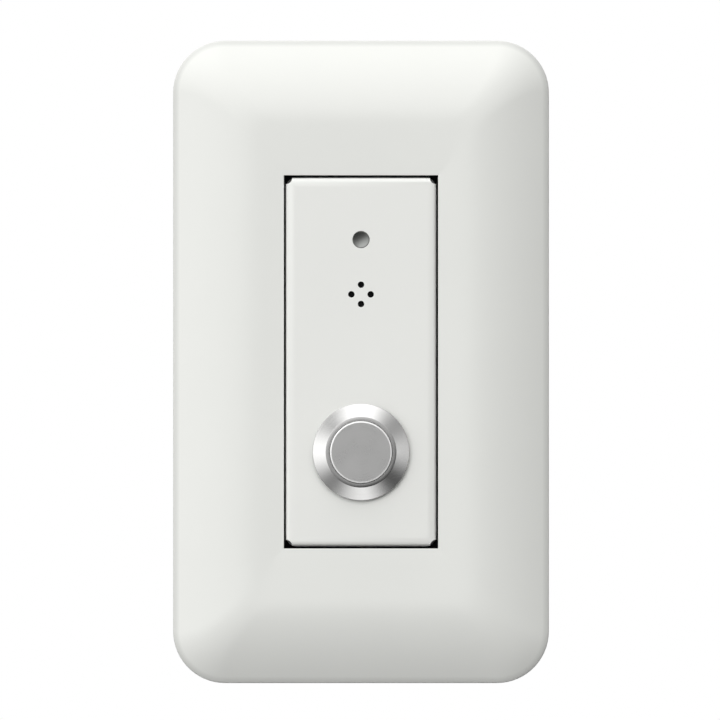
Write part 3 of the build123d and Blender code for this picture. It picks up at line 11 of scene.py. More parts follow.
import bmesh
import bpy
import numpy as np
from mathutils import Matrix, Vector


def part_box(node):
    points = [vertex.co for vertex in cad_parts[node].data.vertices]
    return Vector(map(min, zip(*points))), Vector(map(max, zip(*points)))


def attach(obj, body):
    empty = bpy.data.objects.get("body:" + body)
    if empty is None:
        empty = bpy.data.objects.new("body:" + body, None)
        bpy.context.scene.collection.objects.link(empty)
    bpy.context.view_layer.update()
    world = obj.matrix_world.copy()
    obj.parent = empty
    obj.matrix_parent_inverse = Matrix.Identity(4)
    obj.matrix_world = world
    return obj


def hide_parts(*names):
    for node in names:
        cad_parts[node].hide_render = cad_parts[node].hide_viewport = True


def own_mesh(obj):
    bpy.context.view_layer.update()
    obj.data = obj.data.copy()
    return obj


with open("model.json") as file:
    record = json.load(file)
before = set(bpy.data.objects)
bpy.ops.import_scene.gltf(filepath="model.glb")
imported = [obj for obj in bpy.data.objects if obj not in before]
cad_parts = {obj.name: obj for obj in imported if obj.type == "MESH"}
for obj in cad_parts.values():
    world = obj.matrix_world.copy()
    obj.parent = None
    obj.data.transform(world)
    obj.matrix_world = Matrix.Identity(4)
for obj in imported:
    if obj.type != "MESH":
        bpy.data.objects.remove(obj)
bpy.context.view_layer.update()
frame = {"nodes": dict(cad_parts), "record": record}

# %% [markdown]
# ## Working in the maker's directions
#
# A fitter thinks of this object as seen from the front: x to the right, z up, and a height in front
# of the wall. The scene's own axes are metres with the front along -Y. One small function turns one
# into the other, so every later size can be written in millimetres.

# %% Directions and node measures
MM = 0.001


def place(x, height, z):
    """Points in metres, (x, -height, z) times 0.001, for arrays of millimetres that stretch to one shape."""
    return np.stack(np.broadcast_arrays(x, -np.asarray(height, float), z), -1) * MM


def reach(node):
    """A CAD node's lowest and highest x, height and z, in millimetres, as two arrays."""
    low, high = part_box(node)
    return (
        np.array([low.x, -high.y, low.z]) / MM,
        np.array([high.x, -low.y, high.z]) / MM,
    )


cover_high = reach("cover_plate")[1]
panel_low, panel_high = reach("insert_panel")
cap_low, cap_high = reach("button_cap")
button_z = (cap_low[2] + cap_high[2]) / 2
print("cover top", cover_high[1].round(2), "panel face", panel_high[1].round(2))
print("button z", button_z.round(2))

# %% [markdown]
# ## Surfaces from grids
#
# A surface can be modelled by hand, or worked out as a function of two numbers: one runs round the
# piece, one runs along its section. The second way keeps every size exact. The points form a grid,
# and each cell of the grid is a quad. Where a grid closes on itself, its last row meets its first.


# %% Grids, and meshes made from them
def grid_quads(rows, columns, round_rows=True, round_columns=True):
    """Each quad joins grid points (i, j), (i+1, j), (i+1, j+1) and (i, j+1). Point (i, j) is number
    i * columns + j."""
    i, j = np.meshgrid(
        np.arange(rows if round_rows else rows - 1),
        np.arange(columns if round_columns else columns - 1),
        indexing="ij",
    )
    k, m = (i + 1) % rows, (j + 1) % columns
    corners = [i * columns + j, k * columns + j, k * columns + m, i * columns + m]
    return np.stack(corners, -1).reshape(-1, 4)


def make_mesh(name, shells, sharp=38):
    """One mesh from a list of (points, faces) shells. Its seams and poles are merged and its faces turned
    outwards."""
    counts = np.cumsum([0] + [len(points) for points, _ in shells])
    points = np.concatenate([points for points, _ in shells])
    faces = [[start + n for n in face] for start, (_, faces) in zip(counts, shells) for face in faces]
    mesh = bpy.data.meshes.new(name)
    mesh.from_pydata(points.tolist(), [], faces)
    clean_mesh(mesh)
    piece = bpy.data.objects.new(name, mesh)
    bpy.context.scene.collection.objects.link(piece)
    return apply_modifiers(piece, sharp)


def clean_mesh(mesh):
    """Merges doubled points and turns the faces outwards."""
    work = bmesh.new()
    work.from_mesh(mesh)
    bmesh.ops.remove_doubles(work, verts=work.verts, dist=1e-7)
    bmesh.ops.recalc_face_normals(work, faces=work.faces)
    work.to_mesh(mesh)
    work.free()


def apply_modifiers(piece, sharp=38):
    """Makes the modifiers' result the piece's own mesh. Smooth shading then weighs each corner's normal by
    the size of the faces that meet there, so a wide flat face stays flat beside a narrow rounded edge."""
    piece.data.shade_smooth()
    piece.data.set_sharp_from_angle(angle=math.radians(sharp))
    if piece.modifiers:
        piece.data = evaluated_mesh(piece)
        piece.modifiers.clear()
        piece.data.shade_smooth()
        piece.data.set_sharp_from_angle(angle=math.radians(sharp))
    weigh = piece.modifiers.new("face weight", "WEIGHTED_NORMAL")
    weigh.mode, weigh.weight, weigh.keep_sharp = "FACE_AREA_WITH_ANGLE", 100, True
    piece.data = evaluated_mesh(piece)
    piece.modifiers.clear()
    return piece


def evaluated_mesh(piece):
    """The piece's mesh after its modifiers."""
    return bpy.data.meshes.new_from_object(piece.evaluated_get(bpy.context.evaluated_depsgraph_get()))


# %% [markdown]
# ## Softened corners
#
# No real edge is perfectly sharp: a moulded or turned edge has a small radius that catches light.
# Each corner of a section is replaced by a short curve that leaves one side and joins the next.


# %% Softened sections
def soften(section, radius, steps=4, closed=True):
    """Rounds the corners of a section. With unit vectors a and b along the sides that meet in corner P and
    turn by an angle T, the curve runs from P - a t to P + b t with t = radius * tan(T / 2), at most 0.45 of
    a side, as (1-s)^2 A + 2 s (1-s) P + s^2 B."""
    section = np.asarray(section, float)
    radius = np.broadcast_to(np.asarray(radius, float), len(section))
    before = section - np.roll(section, 1, 0)
    after = np.roll(before, -1, 0)
    length_before = np.linalg.norm(before, axis=1)
    length_after = np.linalg.norm(after, axis=1)
    a = before / length_before[:, None]
    b = after / length_after[:, None]
    turn = np.arccos(np.clip((a * b).sum(1), -1, 1))
    reach_back = np.minimum(radius * np.tan(turn / 2), 0.45 * np.minimum(length_before, length_after))
    if not closed:
        reach_back[[0, -1]] = 0
    start = section - a * reach_back[:, None]
    end = section + b * reach_back[:, None]
    s = np.linspace(0, 1, steps + 1)[None, :, None]
    curve = (1 - s) ** 2 * start[:, None] + 2 * s * (1 - s) * section[:, None] + s**2 * end[:, None]
    points = curve.reshape(-1, 2)
    step = np.linalg.norm(points - np.roll(points, 1, 0), axis=1)
    return points[step > 1e-6]


def turned(section, x=0.0, z=0.0, steps=96):
    """A turned shell from a closed (radius, height) section: x + radius cos(a), height, z + radius sin(a).
    A section that starts and ends on the axis is left open there, and its ends become poles."""
    angle = np.linspace(0, 2 * math.pi, steps, endpoint=False)[:, None]
    radius, height = np.asarray(section, float).T
    points = place(x + radius * np.cos(angle), height + 0 * angle, z + radius * np.sin(angle))
    on_axis = radius[0] < 1e-6 and radius[-1] < 1e-6
    return points.reshape(-1, 3), grid_quads(steps, len(radius), True, not on_axis)


# %% [markdown]
# ## Writing materials as sums
#
# Blender's materials are graphs of nodes. Wiring them by hand hides the idea, so a small class wraps
# one socket and lets ordinary arithmetic build the Math nodes: `1 - wear * 0.3` adds two of them.


# %% Shader arithmetic
class Value:
    """A value on its way through a material. Arithmetic on it adds the Math nodes that work it out."""

    def __init__(self, shader, socket):
        self.shader, self.socket = shader, socket

    def math(self, operation, first, second=0.0):
        return self.shader.node("ShaderNodeMath", {"operation": operation}, {0: first, 1: second})

    def __add__(self, other):
        return self.math("ADD", self, other)

    def __sub__(self, other):
        return self.math("SUBTRACT", self, other)

    def __rsub__(self, other):
        return self.math("SUBTRACT", other, self)

    def __mul__(self, other):
        return self.math("MULTIPLY", self, other)

    def __truediv__(self, other):
        return self.math("DIVIDE", self, other)

    def __pow__(self, other):
        return self.math("POWER", self, other)

    __radd__, __rmul__ = __add__, __mul__


class Shader:
    """A node tree, with one method that adds any node: its type, its settings, then its sockets."""

    def __init__(self, tree):
        self.tree = tree
        tree.nodes.clear()

    def node(self, kind, settings=None, sockets=None, output=0):
        made = self.tree.nodes.new(kind)
        for name, setting in (settings or {}).items():
            setattr(made, name, setting)
        for name, value in (sockets or {}).items():
            if isinstance(value, Value):
                self.tree.links.new(value.socket, made.inputs[name])
            else:
                made.inputs[name].default_value = value
        return Value(self, made.outputs[output]) if len(made.outputs) else None

    def where(self):
        """The surface point's place in metres."""
        return self.node("ShaderNodeTexCoord", output="Object")

    def stretched(self, vector, scale):
        """A vector or colour times another, part by part."""
        return self.node("ShaderNodeVectorMath", {"operation": "MULTIPLY"}, {0: vector, 1: scale})

    def noise(self, vector, scale, detail=2.0, rough=0.5):
        """Noise from 0 to 1, with `scale` lumps to the metre."""
        sockets = {"Vector": vector, "Scale": scale, "Detail": detail, "Roughness": rough}
        return self.node("ShaderNodeTexNoise", None, sockets)

    def blend(self, amount, first, second):
        """A colour between two: first where the amount is 0 and second where it is 1."""
        sockets = {"Factor": amount, 6: (*first, 1), 7: (*second, 1)}
        return self.node("ShaderNodeMix", {"data_type": "RGBA"}, sockets, output=2)

    def spread(self, value, low, high, to_low=0.0, to_high=1.0):
        """Stretches low..high to to_low..to_high, and holds it there."""
        sockets = {"Value": value, 1: low, 2: high, 3: to_low, 4: to_high}
        return self.node("ShaderNodeMapRange", {"clamp": True}, sockets)

    def polar(self, vector, x=0.0, z=0.0):
        """Distance in metres from a front-to-back axis, and the angle round it in radians."""
        parts = [self.node("ShaderNodeSeparateXYZ", None, {0: vector}, output=n) for n in ("X", "Z")]
        across, up = parts[0] - x * MM, parts[1] - z * MM
        return (across * across + up * up) ** 0.5, self.node(
            "ShaderNodeMath", {"operation": "ARCTAN2"}, {0: up, 1: across}
        )

    def combine(self, x=0.0, y=0.0, z=0.0):
        return self.node("ShaderNodeCombineXYZ", None, {"X": x, "Y": y, "Z": z})


def finish(name, steady, varied):
    """A material: `steady` holds what is the same all over, and varied(shader) what changes. A "Height" from
    varied, times the steady "Relief" in metres, becomes the bump."""
    material = bpy.data.materials.new(name)
    material.use_nodes = True
    shader = Shader(material.node_tree)
    steady = dict(steady)
    relief = steady.pop("Relief", 1e-5)
    changing = varied(shader)
    height = changing.pop("Height", None)
    if height is not None:
        changing["Normal"] = shader.node(
            "ShaderNodeBump", None, {"Height": height, "Distance": relief, "Strength": 1.0}, output="Normal"
        )
    surface = shader.node("ShaderNodeBsdfPrincipled", None, {**steady, **changing})
    shader.node("ShaderNodeOutputMaterial", None, {"Surface": surface})
    return material


# %% [markdown]
# ## Plastics and paint
#
# The cover is a satin moulding. Its mould was spark eroded, which leaves a fine grain a few tenths
# of a millimetre across and a few thousandths deep. The metal insert is powder coated: the melted
# powder settles into softer, broader dimples. Both are a little uneven in colour and in gloss. The
# cover's rounded edge has a slightly darker tone here. It makes up for shade that this light leaves
# out, and the real cover may well be one colour all over.


# %% Moulded and painted finishes
def moulded(grain, relief, colour, shade, gloss, edge=None):
    """A moulded plastic: grain in metres sets the size of its dimples, shade how far its colour drifts. With
    edge = (low, high, tone), the colour is multiplied by tone below the height low, and by 1 above high;
    this is painted shade, on the cover's rounded edge."""

    def varied(shader):
        where = shader.where()
        drift = shader.noise(where, 70.0, 3.0)
        dimples = shader.noise(where, 1.0 / grain, 3.0, 0.6)
        darker = tuple(c * (1 - shade) for c in colour)
        tint = shader.blend(shader.spread(drift, 0.3, 0.7), darker, colour)
        # With edge given, the lowest band of the moulding is darkened: painted shade on the cover's rounded
        # edge.
        if edge:
            low, high, tone = edge
            back = shader.node("ShaderNodeSeparateXYZ", None, {0: where}, output="Y")
            painted_edge_shade = shader.spread(back * -1.0, low * MM, high * MM, tone, 1.0)
            tint = shader.stretched(tint, shader.combine(painted_edge_shade, painted_edge_shade, painted_edge_shade))
        return {
            "Base Color": tint,
            "Roughness": shader.spread(dimples, 0.3, 0.7, gloss[0], gloss[1]),
            "Height": dimples,
        }

    return lambda name: finish(name, {"Relief": relief, "IOR": 1.46}, varied)


finishes = {
    "cover_plastic": moulded(0.00035, 6e-6, (0.844, 0.852, 0.818), 0.012, (0.42, 0.52), (4.75, 5.15, 0.84)),
    "panel_finish": moulded(0.00060, 7e-6, (0.872, 0.878, 0.846), 0.012, (0.36, 0.48)),
    "frame_plastic": moulded(0.00045, 6e-6, (0.680, 0.685, 0.655), 0.03, (0.45, 0.60)),
    "housing_plastic": moulded(0.00055, 2.2e-5, (0.050, 0.053, 0.058), 0.25, (0.50, 0.72)),
    "block_plastic": moulded(0.00030, 6e-6, (0.022, 0.022, 0.025), 0.25, (0.38, 0.55)),
    "buzzer_plastic": moulded(0.00030, 8e-6, (0.018, 0.018, 0.020), 0.2, (0.42, 0.6)),
    "terminal_plastic": moulded(0.00028, 7e-6, (0.035, 0.240, 0.100), 0.18, (0.36, 0.5)),
    "header_nylon": moulded(0.00025, 4e-6, (0.800, 0.780, 0.690), 0.05, (0.30, 0.42)),
    "chip_epoxy": moulded(0.00014, 5e-6, (0.026, 0.026, 0.028), 0.3, (0.45, 0.65)),
    "ferrite": moulded(0.00016, 9e-6, (0.060, 0.060, 0.066), 0.35, (0.55, 0.8)),
    "seal_rubber": moulded(0.00022, 8e-6, (0.022, 0.022, 0.024), 0.3, (0.60, 0.85)),
    # Near black, used only as painted shade on the wall of the cover's opening.
    "painted_gap_shade": moulded(0.00030, 6e-6, (0.006, 0.006, 0.007), 0.1, (0.70, 0.90)),
    "lead_red": moulded(0.00050, 4e-6, (0.520, 0.022, 0.020), 0.12, (0.28, 0.42)),
    "lead_black": moulded(0.00050, 4e-6, (0.014, 0.014, 0.015), 0.2, (0.28, 0.42)),
}
print(len(finishes), "moulded and painted finishes")

# %% [markdown]
# ## Metals
#
# The bezel and the cap are stainless steel, faced on a lathe and brushed while they turn, so their
# fine marks run in rings about the button's axis. The cap's narrow outer ring is painted pale and
# mostly not metallic, a painted highlight: bare steel there comes out too dark in this light. The
# cap's narrow outer ring is made like a pale coating, which is a guess: bare steel there comes out too
# dark in this light. The land between the cone and the bore is painted a darker grey, as painted shade
# from the proud cap. The yoke and the screws are zinc plated: cloudy patches, some blue and some
# yellow, over rolled steel. Drawn wire has marks along its length.


# %% Turned steel
def turned_steel(base, beyond, outer, outer_metal, gloss, relief, marks):
    """Steel with ring marks about the button's axis: noise of the radius alone, `marks` to the metre. Its
    tint is base out to the radius `beyond`, and outer past it. outer_metal is 1 for bare steel, less where
    the outer part is a painted highlight."""

    def varied(shader):
        radius, angle = shader.polar(shader.where(), 0.0, button_z)
        rings = shader.noise(shader.combine(radius, angle * 2e-5, 0.0), marks, 4.0, 0.7)
        cloud = shader.noise(shader.where(), 260.0, 3.0)
        streaks = shader.spread(rings * 0.6 + cloud * 0.4, 0.35, 0.65, 0.93, 1.0)
        bright = shader.spread(radius, (beyond - 0.02) * MM, (beyond + 0.02) * MM)
        tint = shader.blend(bright, base, outer)
        return {
            "Base Color": shader.stretched(tint, shader.combine(streaks, streaks, streaks)),
            "Metallic": 1 - bright * (1 - outer_metal),
            "Roughness": shader.spread(rings * 0.5 + cloud * 0.5, 0.35, 0.65, gloss[0], gloss[1]),
            "Height": rings,
        }

    return lambda name: finish(name, {"Relief": relief}, varied)


# %% Plated, drawn and plain metals
def plated(base, tint, lumps, gloss, relief=2e-6, rolled=(1.0, 1.0, 0.08)):
    """Plate over rolled metal: clouds of two tints, and faint marks stretched along the sheet."""

    def varied(shader):
        where = shader.where()
        cloud = shader.noise(where, lumps, 4.0, 0.6)
        marks = shader.noise(shader.stretched(where, rolled), 9000.0, 3.0, 0.6)
        return {
            "Base Color": shader.blend(shader.spread(cloud, 0.38, 0.62), base, tint),
            "Roughness": shader.spread(cloud * 0.5 + marks * 0.5, 0.35, 0.65, gloss[0], gloss[1]),
            "Height": marks,
        }

    return lambda name: finish(name, {"Metallic": 1.0, "Relief": relief}, varied)


LAND_R = 6.6
CAP_FACE_R = 5.5
# The land's darker grey is painted shade, as the proud cap shades it.
land_painted_shade, cone_tint = (0.500, 0.498, 0.492), (0.650, 0.648, 0.640)
# The cap's pale, mostly non-metallic outer ring is a painted highlight on its chamfer.
cap_tint, ring_painted_highlight = (0.590, 0.588, 0.582), (0.970, 0.968, 0.960)
finishes.update(
    {
        "stainless": turned_steel(land_painted_shade, LAND_R, cone_tint, 1.0, (0.20, 0.27), 4e-7, 14000.0),
        "cap_steel": turned_steel(cap_tint, CAP_FACE_R, ring_painted_highlight, 0.1, (0.26, 0.32), 1.2e-7, 16000.0),
        "zinc_steel": plated((0.600, 0.615, 0.640), (0.660, 0.650, 0.610), 420.0, (0.26, 0.42)),
        "spring_steel": plated((0.470, 0.470, 0.480), (0.540, 0.535, 0.525), 1500.0, (0.22, 0.36)),
        "contact_brass": plated((0.700, 0.520, 0.270), (0.780, 0.640, 0.420), 900.0, (0.20, 0.34)),
        "tinned_pin": plated((0.720, 0.720, 0.710), (0.640, 0.645, 0.655), 1800.0, (0.24, 0.40)),
        "can_aluminium": plated(
            (0.660, 0.670, 0.680), (0.610, 0.615, 0.620), 800.0, (0.24, 0.36), rolled=(1, 0.1, 1)
        ),
        "copper": plated(
            (0.700, 0.300, 0.130), (0.600, 0.220, 0.090), 1200.0, (0.18, 0.30), 6e-6, (0.3, 3.0, 0.3)
        ),
    }
)
print(len(finishes), "finishes with the metals")

# %% [markdown]
# ## Board, lens, lamp and mesh
#
# The board's green lacquer is glossy over a faint glass weave. The indicator's lens, unlit and seen
# from outside, is made smoky grey with a satin and partly metallic shine. The lamp behind it is clear
# epoxy. The dust mesh is woven: two sets of threads, each a wave across the cloth, and the higher of
# the two is on top.


# %% Special finishes
def laminate(shader):
    """Lacquer over a glass weave: sin(9000 x) sin(9000 z) lifts the surface and shifts the green."""
    where = shader.where()
    across, up = (shader.node("ShaderNodeSeparateXYZ", None, {0: where}, output=n) for n in ("X", "Z"))
    weave = Value.math(across, "SINE", across * 9000.0) * Value.math(up, "SINE", up * 9000.0)
    cloud = shader.noise(where, 300.0, 3.0)
    return {
        "Base Color": shader.blend(
            shader.spread(weave * 0.3 + cloud, 0.2, 0.8), (0.010, 0.120, 0.045), (0.022, 0.200, 0.080)
        ),
        "Roughness": shader.spread(cloud, 0.35, 0.65, 0.20, 0.34),
        "Height": weave,
    }


def woven(shader):
    """The higher of two threads: the larger of 0.5 + 0.5 sin(52000 x) and 0.5 + 0.5 sin(52000 z)."""
    where = shader.where()
    across, up = (shader.node("ShaderNodeSeparateXYZ", None, {0: where}, output=n) for n in ("X", "Z"))
    warp = Value.math(across, "SINE", across * 52000.0) * 0.5 + 0.5
    weft = Value.math(up, "SINE", up * 52000.0) * 0.5 + 0.5
    top = Value.math(warp, "MAXIMUM", warp, weft)
    return {
        # Black cloth made near pure black: partly its own colour, partly painted shade for the deep sound
        # holes.
        "Base Color": shader.blend(top, (0.001, 0.001, 0.001), (0.010, 0.010, 0.011)),
        "Roughness": shader.spread(top, 0.0, 1.0, 0.85, 0.6),
        "Height": top,
    }


def smoked(shader):
    """Smoky grey: soft clouds shift its tone, and a fine grain shifts its gloss."""
    where = shader.where()
    cloud = shader.noise(where, 900.0, 3.0)
    fine = shader.noise(where, 9000.0, 2.0)
    return {
        "Base Color": shader.blend(cloud, (0.205, 0.210, 0.202), (0.235, 0.240, 0.232)),
        "Roughness": shader.spread(fine, 0.3, 0.7, 0.32, 0.46),
        "Height": fine,
    }


def clear_epoxy(shader):
    """Pale, smooth resin: the same soft clouds shift its tone and its gloss."""
    where = shader.where()
    cloud = shader.noise(where, 700.0, 3.0)
    return {
        "Base Color": shader.blend(cloud, (0.740, 0.770, 0.745), (0.830, 0.850, 0.830)),
        "Roughness": shader.spread(cloud, 0.3, 0.7, 0.06, 0.16),
        "Height": cloud,
    }


finishes.update(
    {
        "board_laminate": lambda name: finish(name, {"Relief": 2e-6, "Coat Weight": 0.4}, laminate),
        "mesh_fabric": lambda name: finish(name, {"Relief": 4e-5, "Specular IOR Level": 0.1}, woven),
        "lens_plastic": lambda name: finish(name, {"Relief": 2e-6, "Metallic": 0.8}, smoked),
        "led_epoxy": lambda name: finish(name, {"Relief": 4e-6, "Transmission Weight": 0.55}, clear_epoxy),
    }
)
materials = {name: make(name) for name, make in finishes.items()}
print(len(materials), "materials made")

# %% [markdown]
# ## Dressing the CAD nodes
#
# Most inner pieces are already the right shape, so their CAD nodes stay and only their material
# changes. The record says which finish each node has, and every slot of the node's object gets it.

# %% Materials for every CAD node
node_slot = {part["node"]: part["material_slot"] for part in frame["record"]["subparts"]}
for node, slot in node_slot.items():
    for material_slot in frame["nodes"][node].material_slots:
        material_slot.material = materials[slot]
node_body = {n: body for body, members in frame["record"]["behaviour"]["bodies"].items() for n in members}
print(len(node_slot), "nodes dressed")


def settle(piece, *nodes, material=None):
    """Puts a finished piece in the object: it takes the first node's finish and rides on its body, and stands
    for all the nodes named."""
    slot = node_slot[nodes[0]]
    piece.data.materials.clear()
    piece.data.materials.append(materials[material or slot])
    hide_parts(*nodes)
    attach(piece, node_body[nodes[0]])
    print(piece.name, len(piece.data.polygons), "faces")
    return piece


# %% [markdown]
# ## The cover plate
#
# The real cover is one hollow moulding. Its middle sinks very slightly to the opening, its border
# falls away in a long shallow arc that ends in a small rounded edge, and a collar runs back from the
# opening. All of that is one closed section, written as distance in from the edge and height. Carried
# round the plate, each section point draws a rectangle with rounded corners. The corner's radius
# shrinks more and more slowly on the way in, so two slopes meet in a soft corner.

# %% Cover sizes
CORNER_R = 9.6
SLOPE = 15.5
SLOPE_R = SLOPE / math.sin(math.radians(28.0))
TILT_AT = np.array([0.0, 1.5, 3.0, 4.5, 6.5, 8.5, 10.5, 12.3, 13.8, 15.0, 16.0, 18.0, 20.7])
TILT = np.array([27.5, 26.7, 24.5, 21.9, 18.5, 15.0, 11.6, 8.2, 3.9, 0.5, -1.5, -2.5, -2.5])
WALL = 1.8
OPENING = (14.37, 34.78)
COLLAR = 1.5
COLLAR_BACK = 4.0
LIP, LIP_CORNER_R, LIP_THICK = 0.25, 2.3, 0.6
INNER_R, OPENING_R, RADIUS_FADE, FLAT_RAMP = 2.2, 0.06, 6.0, 3.5
RIM = 1.6
HALF_X, HALF_Z, TOP = cover_high[0], cover_high[2], cover_high[1]
OPENING_IN = HALF_X - OPENING[0]
END_EXTRA = (HALF_Z - OPENING[1]) - OPENING_IN


# %% Carry the cover's section round the plate
def plate_ring(inward, corner_steps=20):
    """For each distance in d, a rounded rectangle of half sizes (HALF_X - d, HALF_Z - d - e). Its corner
    radius is INNER_R + (CORNER_R - INNER_R) exp(-d / RADIUS_FADE). Over the middle, e grows to END_EXTRA
    and the radius shrinks to OPENING_R. A corner's points are its centre + radius (cos a, sin a)."""
    d = np.asarray(inward, float)[:, None]
    flat = np.clip((d - SLOPE) / FLAT_RAMP, 0, 1)
    half_x = HALF_X - d
    half_z = HALF_Z - d - END_EXTRA * flat
    radius = (INNER_R + (CORNER_R - INNER_R) * np.exp(-d / RADIUS_FADE)) * (1 - flat) + OPENING_R * flat
    radius = np.where(d > OPENING_IN + 0.1, LIP_CORNER_R, radius)
    quarter = np.repeat(np.arange(4), corner_steps + 1)
    angle = (quarter + np.tile(np.linspace(0, 1, corner_steps + 1), 4)) * math.pi / 2
    side_x = np.array([1, -1, -1, 1])[quarter]
    side_z = np.array([1, 1, -1, -1])[quarter]
    x = side_x * (half_x - radius) + radius * np.cos(angle)
    z = side_z * (half_z - radius) + radius * np.sin(angle)
    return x, z


def tilted_height(inward):
    """The border leans over more and more towards the edge, and its middle sinks a little to the opening:
    TOP minus the running sum of tan(tilt) from the crest, where the tilt is 0."""
    fine = np.linspace(0, OPENING_IN, 2000)
    tilt = np.radians(np.interp(fine[1:], TILT_AT, TILT))
    rise = np.concatenate([[0], np.cumsum(np.tan(tilt) * fine[1])])
    return np.interp(inward, fine, TOP - (rise.max() - rise))


def slope_height(inward, top, bend_r, slope):
    """An arc that leaves the flat top level: top - R + sqrt(R^2 - (slope - d)^2)."""
    return top - bend_r + np.sqrt(bend_r**2 - (slope - inward) ** 2)


outer = np.linspace(OPENING_IN - 1.7, 0.0, 48)
inner = np.linspace(WALL, SLOPE, 24)
cover_section = np.concatenate(
    [
        [(OPENING_IN + LIP, COLLAR_BACK), (OPENING_IN + LIP, COLLAR_BACK + LIP_THICK)],
        [(OPENING_IN, COLLAR_BACK + LIP_THICK), (OPENING_IN, tilted_height(OPENING_IN))],
        np.stack([outer, tilted_height(outer)], 1),
        [(0.0, RIM), (WALL, RIM)],
        np.stack([inner, slope_height(inner, TOP - WALL, SLOPE_R - WALL, SLOPE)], 1),
        [(OPENING_IN - COLLAR, TOP - WALL), (OPENING_IN - COLLAR, COLLAR_BACK)],
    ]
)
edge_radius = np.zeros(len(cover_section))
edge_radius[[-1, -2]] = 0.2
edge_radius[3] = 0.16
edge_radius[3 + len(outer)] = 1.0
edge_radius[[4 + len(outer), 5 + len(outer)]] = 0.12
soft_section = soften(cover_section, edge_radius, 6)
ring_x, ring_z = plate_ring(soft_section[:, 0])
cover_points = place(ring_x, soft_section[:, 1][:, None], ring_z).reshape(-1, 3)
cover_shell = (cover_points, grid_quads(*ring_x.shape))
print("cover section", soft_section.shape, "ring", ring_x.shape)

# %% [markdown]
# Four hooks behind the cover snap into the frame. Each is a short run of one profile: a slim leg
# whose barb points outwards.


# %% Snap hooks
def drawn(profile, start, end, axis):
    """A closed profile carried straight along an axis. Its two ends are closed by one flat face each.
    "z": profile (x, height); "height": profile (x, z); "x": profile (height, z)."""
    profile = np.asarray(profile, float)
    along = np.array([start, end])[:, None]
    first, second = profile[:, 0][None], profile[:, 1][None]
    order = {"z": (first, second, along), "height": (first, along, second), "x": (along, first, second)}[axis]
    points = place(*order).reshape(-1, 3)
    count = len(profile)
    faces = grid_quads(2, count, False, True).tolist()
    return points, faces + [list(range(count)), list(range(2 * count - 1, count - 1, -1))]


HOOK_X, HOOK_Z, HOOK_HALF = 27.1, 30.0, 3.0
hook_profile = np.array(
    [(-0.6, 7.4), (-0.6, 0.3), (0.6, 0.3), (1.4, 1.0), (1.4, 1.3), (0.6, 1.3), (0.6, 7.4)]
)
hook_shells = [
    drawn(soften(hook_profile * (side, 1) + (side * HOOK_X, 0), 0.12, 3), z - HOOK_HALF, z + HOOK_HALF, "z")
    for side in (1, -1)
    for z in (HOOK_Z, -HOOK_Z)
]
cover = settle(make_mesh("cover_moulding", [cover_shell, *hook_shells]), "cover_plate")

# %% [markdown]
# The line round the insert is black, where the gap lies deep in shade. Here that is painted shade: a
# thin black seal inside the opening makes it, with a small lip into the gap. The seal is a guess, and
# the CAD model leaves the gap empty. It is a second material on the faces of the opening's wall.

# %% The black seal in the opening: painted shade
cover.data.materials.append(materials["painted_gap_shade"])
centres = np.empty(len(cover.data.polygons) * 3)
cover.data.polygons.foreach_get("center", centres)
centre_x, centre_y, centre_z = centres.reshape(-1, 3).T / MM
in_opening = (abs(centre_x) < OPENING[0] + 0.05) & (abs(centre_z) < OPENING[1] + 0.05)
in_opening &= -centre_y < TOP - 0.5
# The opening's wall faces get the near-black seal, which is painted shade in the gap.
cover.data.polygons.foreach_set("material_index", in_opening.astype(int))
print(in_opening.sum(), "faces carry the seal")

# %% [markdown]
# ## The insert panel
#
# The insert is folded from one-millimetre sheet: a flat face and four edges bent back, with a round
# relief at each corner so that the sheet folds without tearing. The folded box is a grid like the
# cover. Its holes are cut with turned cutters, and a small bevel gives every cut the soft lip that
# powder coat leaves.

# %% Fold the sheet
PANEL_X, PANEL_Z, PANEL_TOP, PANEL_FOOT = panel_high[0], panel_high[2], panel_high[1], panel_low[1]
SHEET, RELIEF_R, FACE_IN = 1.0, 1.15, 6.0
fold_corners = [
    (FACE_IN, PANEL_TOP),
    (1.3, PANEL_TOP),
    (0.30, PANEL_TOP - 0.30),
    (0.0, PANEL_TOP - 0.85),
    (0.0, PANEL_FOOT),
]
fold = soften(fold_corners, [0, 6.0, 0.5, 0.8, 0], 8, closed=False)
fold_back = soften(
    [(SHEET, PANEL_FOOT), (SHEET, PANEL_TOP - SHEET), (FACE_IN, PANEL_TOP - SHEET)],
    [0, 0.5, 0],
    4,
    closed=False,
)
fold_section = np.concatenate([fold, fold_back])


def sharp_ring(inward, half_x, half_z):
    """Rectangles of half sizes (half_x - d, half_z - d), four corners each."""
    d = np.asarray(inward, float)[:, None]
    return (half_x - d) * np.array([1, -1, -1, 1]), (half_z - d) * np.array([1, 1, -1, -1])


fold_x, fold_z = sharp_ring(fold_section[:, 0], PANEL_X, PANEL_Z)
fold_points = place(fold_x, fold_section[:, 1][:, None], fold_z).reshape(-1, 3)
fold_faces = grid_quads(*fold_x.shape, False, True).tolist()
last = len(fold_points) - 4
fold_faces += [[3, 2, 1, 0], [last, last + 1, last + 2, last + 3]]
panel = make_mesh("insert_sheet", [(fold_points, fold_faces)])

# %% Cut the holes and the corner reliefs
lens_low, lens_high = reach("indicator_lens")
mesh_low, mesh_high = reach("dust_mesh")
led_z = (lens_low[2] + lens_high[2]) / 2
sound_z = (mesh_low[2] + mesh_high[2]) / 2
LED_HOLE_R, SOUND_HOLE_R, SOUND_CIRCLE_R, BARREL_R = 1.6, 0.6, 1.8, 8.0
CUT_FRONT, CUT_BACK = 12.0, 0.5


def cutter(radius, x, z, steps=64):
    """A rod that runs from in front of the sheet to behind it."""
    return turned([(0, CUT_FRONT), (radius, CUT_FRONT), (radius, CUT_BACK), (0, CUT_BACK)], x, z, steps)


